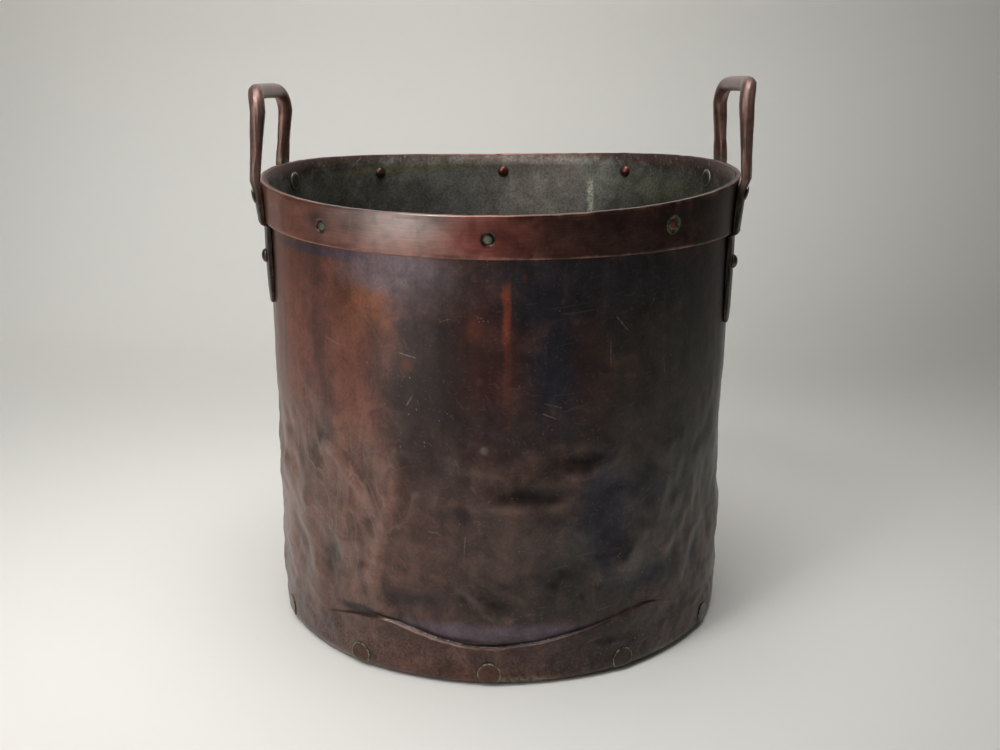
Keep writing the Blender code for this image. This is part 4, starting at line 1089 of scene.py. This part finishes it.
def baseRivets(coppers):
    spin = circle(baseRivet["sides"])[None, :]
    right, up = np.sin(spin), np.cos(spin)
    rise = baseRivet["height"] - wall["corner"]
    inset = wall["sheet"] + pan["sheet"] + 2 * clearance
    crown = np.array([0, 0, 0.4, 0.75, 0.95, 1.0, 1.02, 1.0, 0.97, 0.95]) * baseRivet["proud"]
    crown = np.maximum(crown, clearance)[:, None]
    spread = np.array([0.42, 0.985, 1, 0.985, 0.94, 0.86, 0.74, 0.5, 0.25, 0.03])[:, None]
    spread = spread * baseRivet["head"]
    tailSpread = np.array([0.04, 0.5, 0.8, 0.96, 1])[:, None] * baseRivet["tail"]
    tailCrown = np.array([1, 1, 0.85, 0.5, 0])[:, None] * baseRivet["tailProud"]
    ring = np.array([0.0] * 7 + [0.42, 0.985, 1.0, 1.0, 0.97, 0.9, 0.74, 0.5, 0.25, 0.0])[:, None]
    reach = np.array([[wall["radius"] - inset], [wall["radius"] + clearance]])
    for number in range(baseRivet["count"]):
        azimuth = math.radians(baseRivet["start"]) + number * 2 * np.pi / baseRivet["count"]
        inner = cornerPoint(inset, rise - tailSpread * up, tailSpread * right, -tailCrown, azimuth)
        turn = azimuth + baseRivet["shank"] * right / reach
        shank = polar(reach, turn, baseRivet["height"] - baseRivet["shank"] * up)
        outer = cornerPoint(0.0, rise - spread * up, spread * right, crown, azimuth)
        name = "base_rivet_%02d" % (number + 1)
        zones = [label for label, (low, high) in baseRivet["zones"].items() if low < azimuth < high]
        copper = zones[0] if zones else "foot"
        grid = np.concatenate([inner, shank, outer])
        makePiece(name + "_fine", grid, coppers[copper], "base_rivet_copper", name, ring=ring)


def rivetMaterial(name, dark, light, ringMask, greenAll=0.0, tinned=0.0, recessShade=0.0):
    # worn copper, with verdigris in a ring of its own radius or all over; tinned tails take the colour of
    # the inside, sunk ones get painted shade round the edge
    material, graph, shader, place, age = newMaterial(
        name, metallic=0.8, coatWeight=0.15, coatRoughness=0.25, grain=3.0)
    base = graph.mottled(age, dark, light)
    ring = graph.mark("ring")
    mask = graph.calc("MAXIMUM", graph.ramp(ring, *ringMask), greenAll)
    # a sunk tail gets painted shade round its edge
    if recessShade:
        base = graph.blend(graph.ramp(ring, 0.62, 0.8, 0.0, recessShade), base, (22, 15, 12))
        mask = graph.times(mask, graph.ramp(ring, 0.62, 0.8, 1.0, 1.0 - recessShade))
    if tinned:
        inside = graph.mark("inside")
        tin = graph.mottled(age, (60, 60, 48), (120, 118, 95))
        tin = graph.blend(graph.ramp(ring, 0.68, 0.86, 0.0, tinned), tin, (460, 440, 300))
        base = graph.blend(inside, base, tin)
        mask = graph.times(mask, graph.calc("SUBTRACT", 1.0, inside))
    green = graph.group(verdigris, Place=place, Colour=base, Mask=mask)
    rough = graph.timesPlus(green["Share"], 0.35, 0.34)
    feed(graph, shader, green["Colour"], rough, age["Mottle"], 0.3, 0.0006)
    return material


def buildKettle():
    grid, marks = wallGrid()
    makePiece("kettle_wall", grid, wallMaterial(), "body_copper", "body_shell", True, **marks)
    grid, edge = hoopGrid()
    makePiece("kettle_hoop", grid, hoopMaterial(), "hoop_copper", "rim_hoop", True, edge=edge)
    makePiece("kettle_floor", panGrid(), panMaterial(), "tinned_copper", "base_pan")
    print("wall, hoop and floor made")
    copper = handleMaterial()
    for seed, (name, loop) in zip((41, 51), handle["loops"].items()):
        makePiece(name + "_fine", handleGrid(loop, seed), copper, "handle_copper", name)
    coppers = {label: rivetMaterial(*settings) for label, settings in rivetCoppers.items()}
    hoopRivets(coppers)
    handleRivets(coppers["strap"])
    baseRivets(coppers)
    print("handles and rivets made")


# Stage, lights and camera

sweep = {"front": -3.2, "back": 0.95, "radius": 0.55, "top": 3.2, "half": 4.0, "columns": 9, "arcRows": 24,
         "colour": (800, 782, 742), "roughness": 0.9}
camera = {"focal": 1303.7, "width": 1000.0, "distance": 1.2421, "height": 0.5817, "pitch": 0.2813,
          "aside": 0.0092, "roll": 0.0013, "yaw": -0.0075, "sensor": 36.0}
# place, aim, size, watts, spread in degrees
lamps = {
    "window": ((-1.6, -1.5, 0.75), (-0.3, 0.0, 0.2), 0.9, 6.4, 180.0),
    "pool": ((-1.2, -1.3, 1.2), (-1.05, -1.15, 0.0), 0.3, 6.5, 60.0),
    "front": ((-1.2, -2.0, 1.6), (0.0, 0.0, 0.2), 0.8, 6.5, 180.0),
    "floor": ((-0.9, -1.0, 1.9), (-0.3, -0.1, 0.0), 0.6, 1.55, 45.0),
    "ceiling": ((0.0, -0.15, 2.2), (-0.12, -0.02, 0.0), 1.4, 5.2, 70.0),
    "back left": ((-0.9, 0.9, 1.8), (-0.9, 1.1, 0.0), 0.5, 0.8, 70.0),
    "backdrop left": ((-0.9, 0.1, 1.5), (-1.0, 1.5, 0.5), 0.6, 0.7, 80.0),
    "backdrop": ((-0.1, 0.6, 2.2), (-0.1, 1.5, 1.0), 0.5, 4.0, 70.0),
    "backdrop right": ((0.5, 0.7, 2.3), (0.75, 1.5, 1.2), 0.5, 1.4, 60.0),
}
world = {"colour": (98, 97, 93), "strength": 1.0}


def buildStage():
    # floor and backdrop in one sheet: a flat run, a quarter arc and an upright run, carried sideways
    turn, curve, back = quarter(sweep["arcRows"]), sweep["radius"], sweep["back"]
    y = np.concatenate([[sweep["front"]], back + curve * np.sin(turn), [back + curve]])
    z = np.concatenate([[0.0], curve - curve * np.cos(turn), [sweep["top"]]])
    x = np.linspace(-sweep["half"], sweep["half"], sweep["columns"])
    points = np.stack(np.broadcast_arrays(x[:, None], y[None, :], z[None, :]), axis=-1).reshape(-1, 3)
    mesh = bpy.data.meshes.new("sweep")
    mesh.from_pydata(points.tolist(), [], gridFaces(len(x), len(y), False, False)[:, ::-1].tolist())
    mesh.shade_smooth()
    material = bpy.data.materials.new("paper sweep")
    material.use_nodes = True
    shader = material.node_tree.nodes["Principled BSDF"].inputs
    shader["Base Color"].default_value = colour(sweep["colour"])
    shader["Roughness"].default_value = sweep["roughness"]
    mesh.materials.append(material)
    addObject("sweep", mesh)


def buildLights():
    for name, (place, aim, size, watts, spread) in lamps.items():
        data = bpy.data.lights.new(name, "AREA")
        data.shape = "RECTANGLE"
        data.size, data.size_y = size, size
        data.energy = watts
        data.spread = math.radians(spread)
        item = addObject(name, data)
        item.location = place
        item.rotation_euler = (Vector(aim) - Vector(place)).to_track_quat("-Z", "Y").to_euler()
    sky = bpy.data.worlds.new("room")
    sky.use_nodes = True
    back = sky.node_tree.nodes["Background"].inputs
    back["Color"].default_value = colour(world["colour"])
    back["Strength"].default_value = world["strength"]
    bpy.context.scene.world = sky


def buildCamera():
    data = bpy.data.cameras.new("view")
    data.sensor_width = camera["sensor"]
    data.lens = camera["sensor"] * camera["focal"] / camera["width"]
    item = addObject("view", data)
    turn = Matrix.Rotation(-camera["yaw"], 4, "Z") @ Matrix.Rotation(math.pi / 2 - camera["pitch"], 4, "X")
    turn = turn @ Matrix.Rotation(-camera["roll"], 4, "Z")
    item.matrix_world = Matrix.Translation((camera["aside"], -camera["distance"], camera["height"])) @ turn
    bpy.context.scene.camera = item


buildKettle()
buildStage()
buildLights()
buildCamera()
bpy.context.scene.view_settings.view_transform = "Standard"
print("stage, lights and camera made")
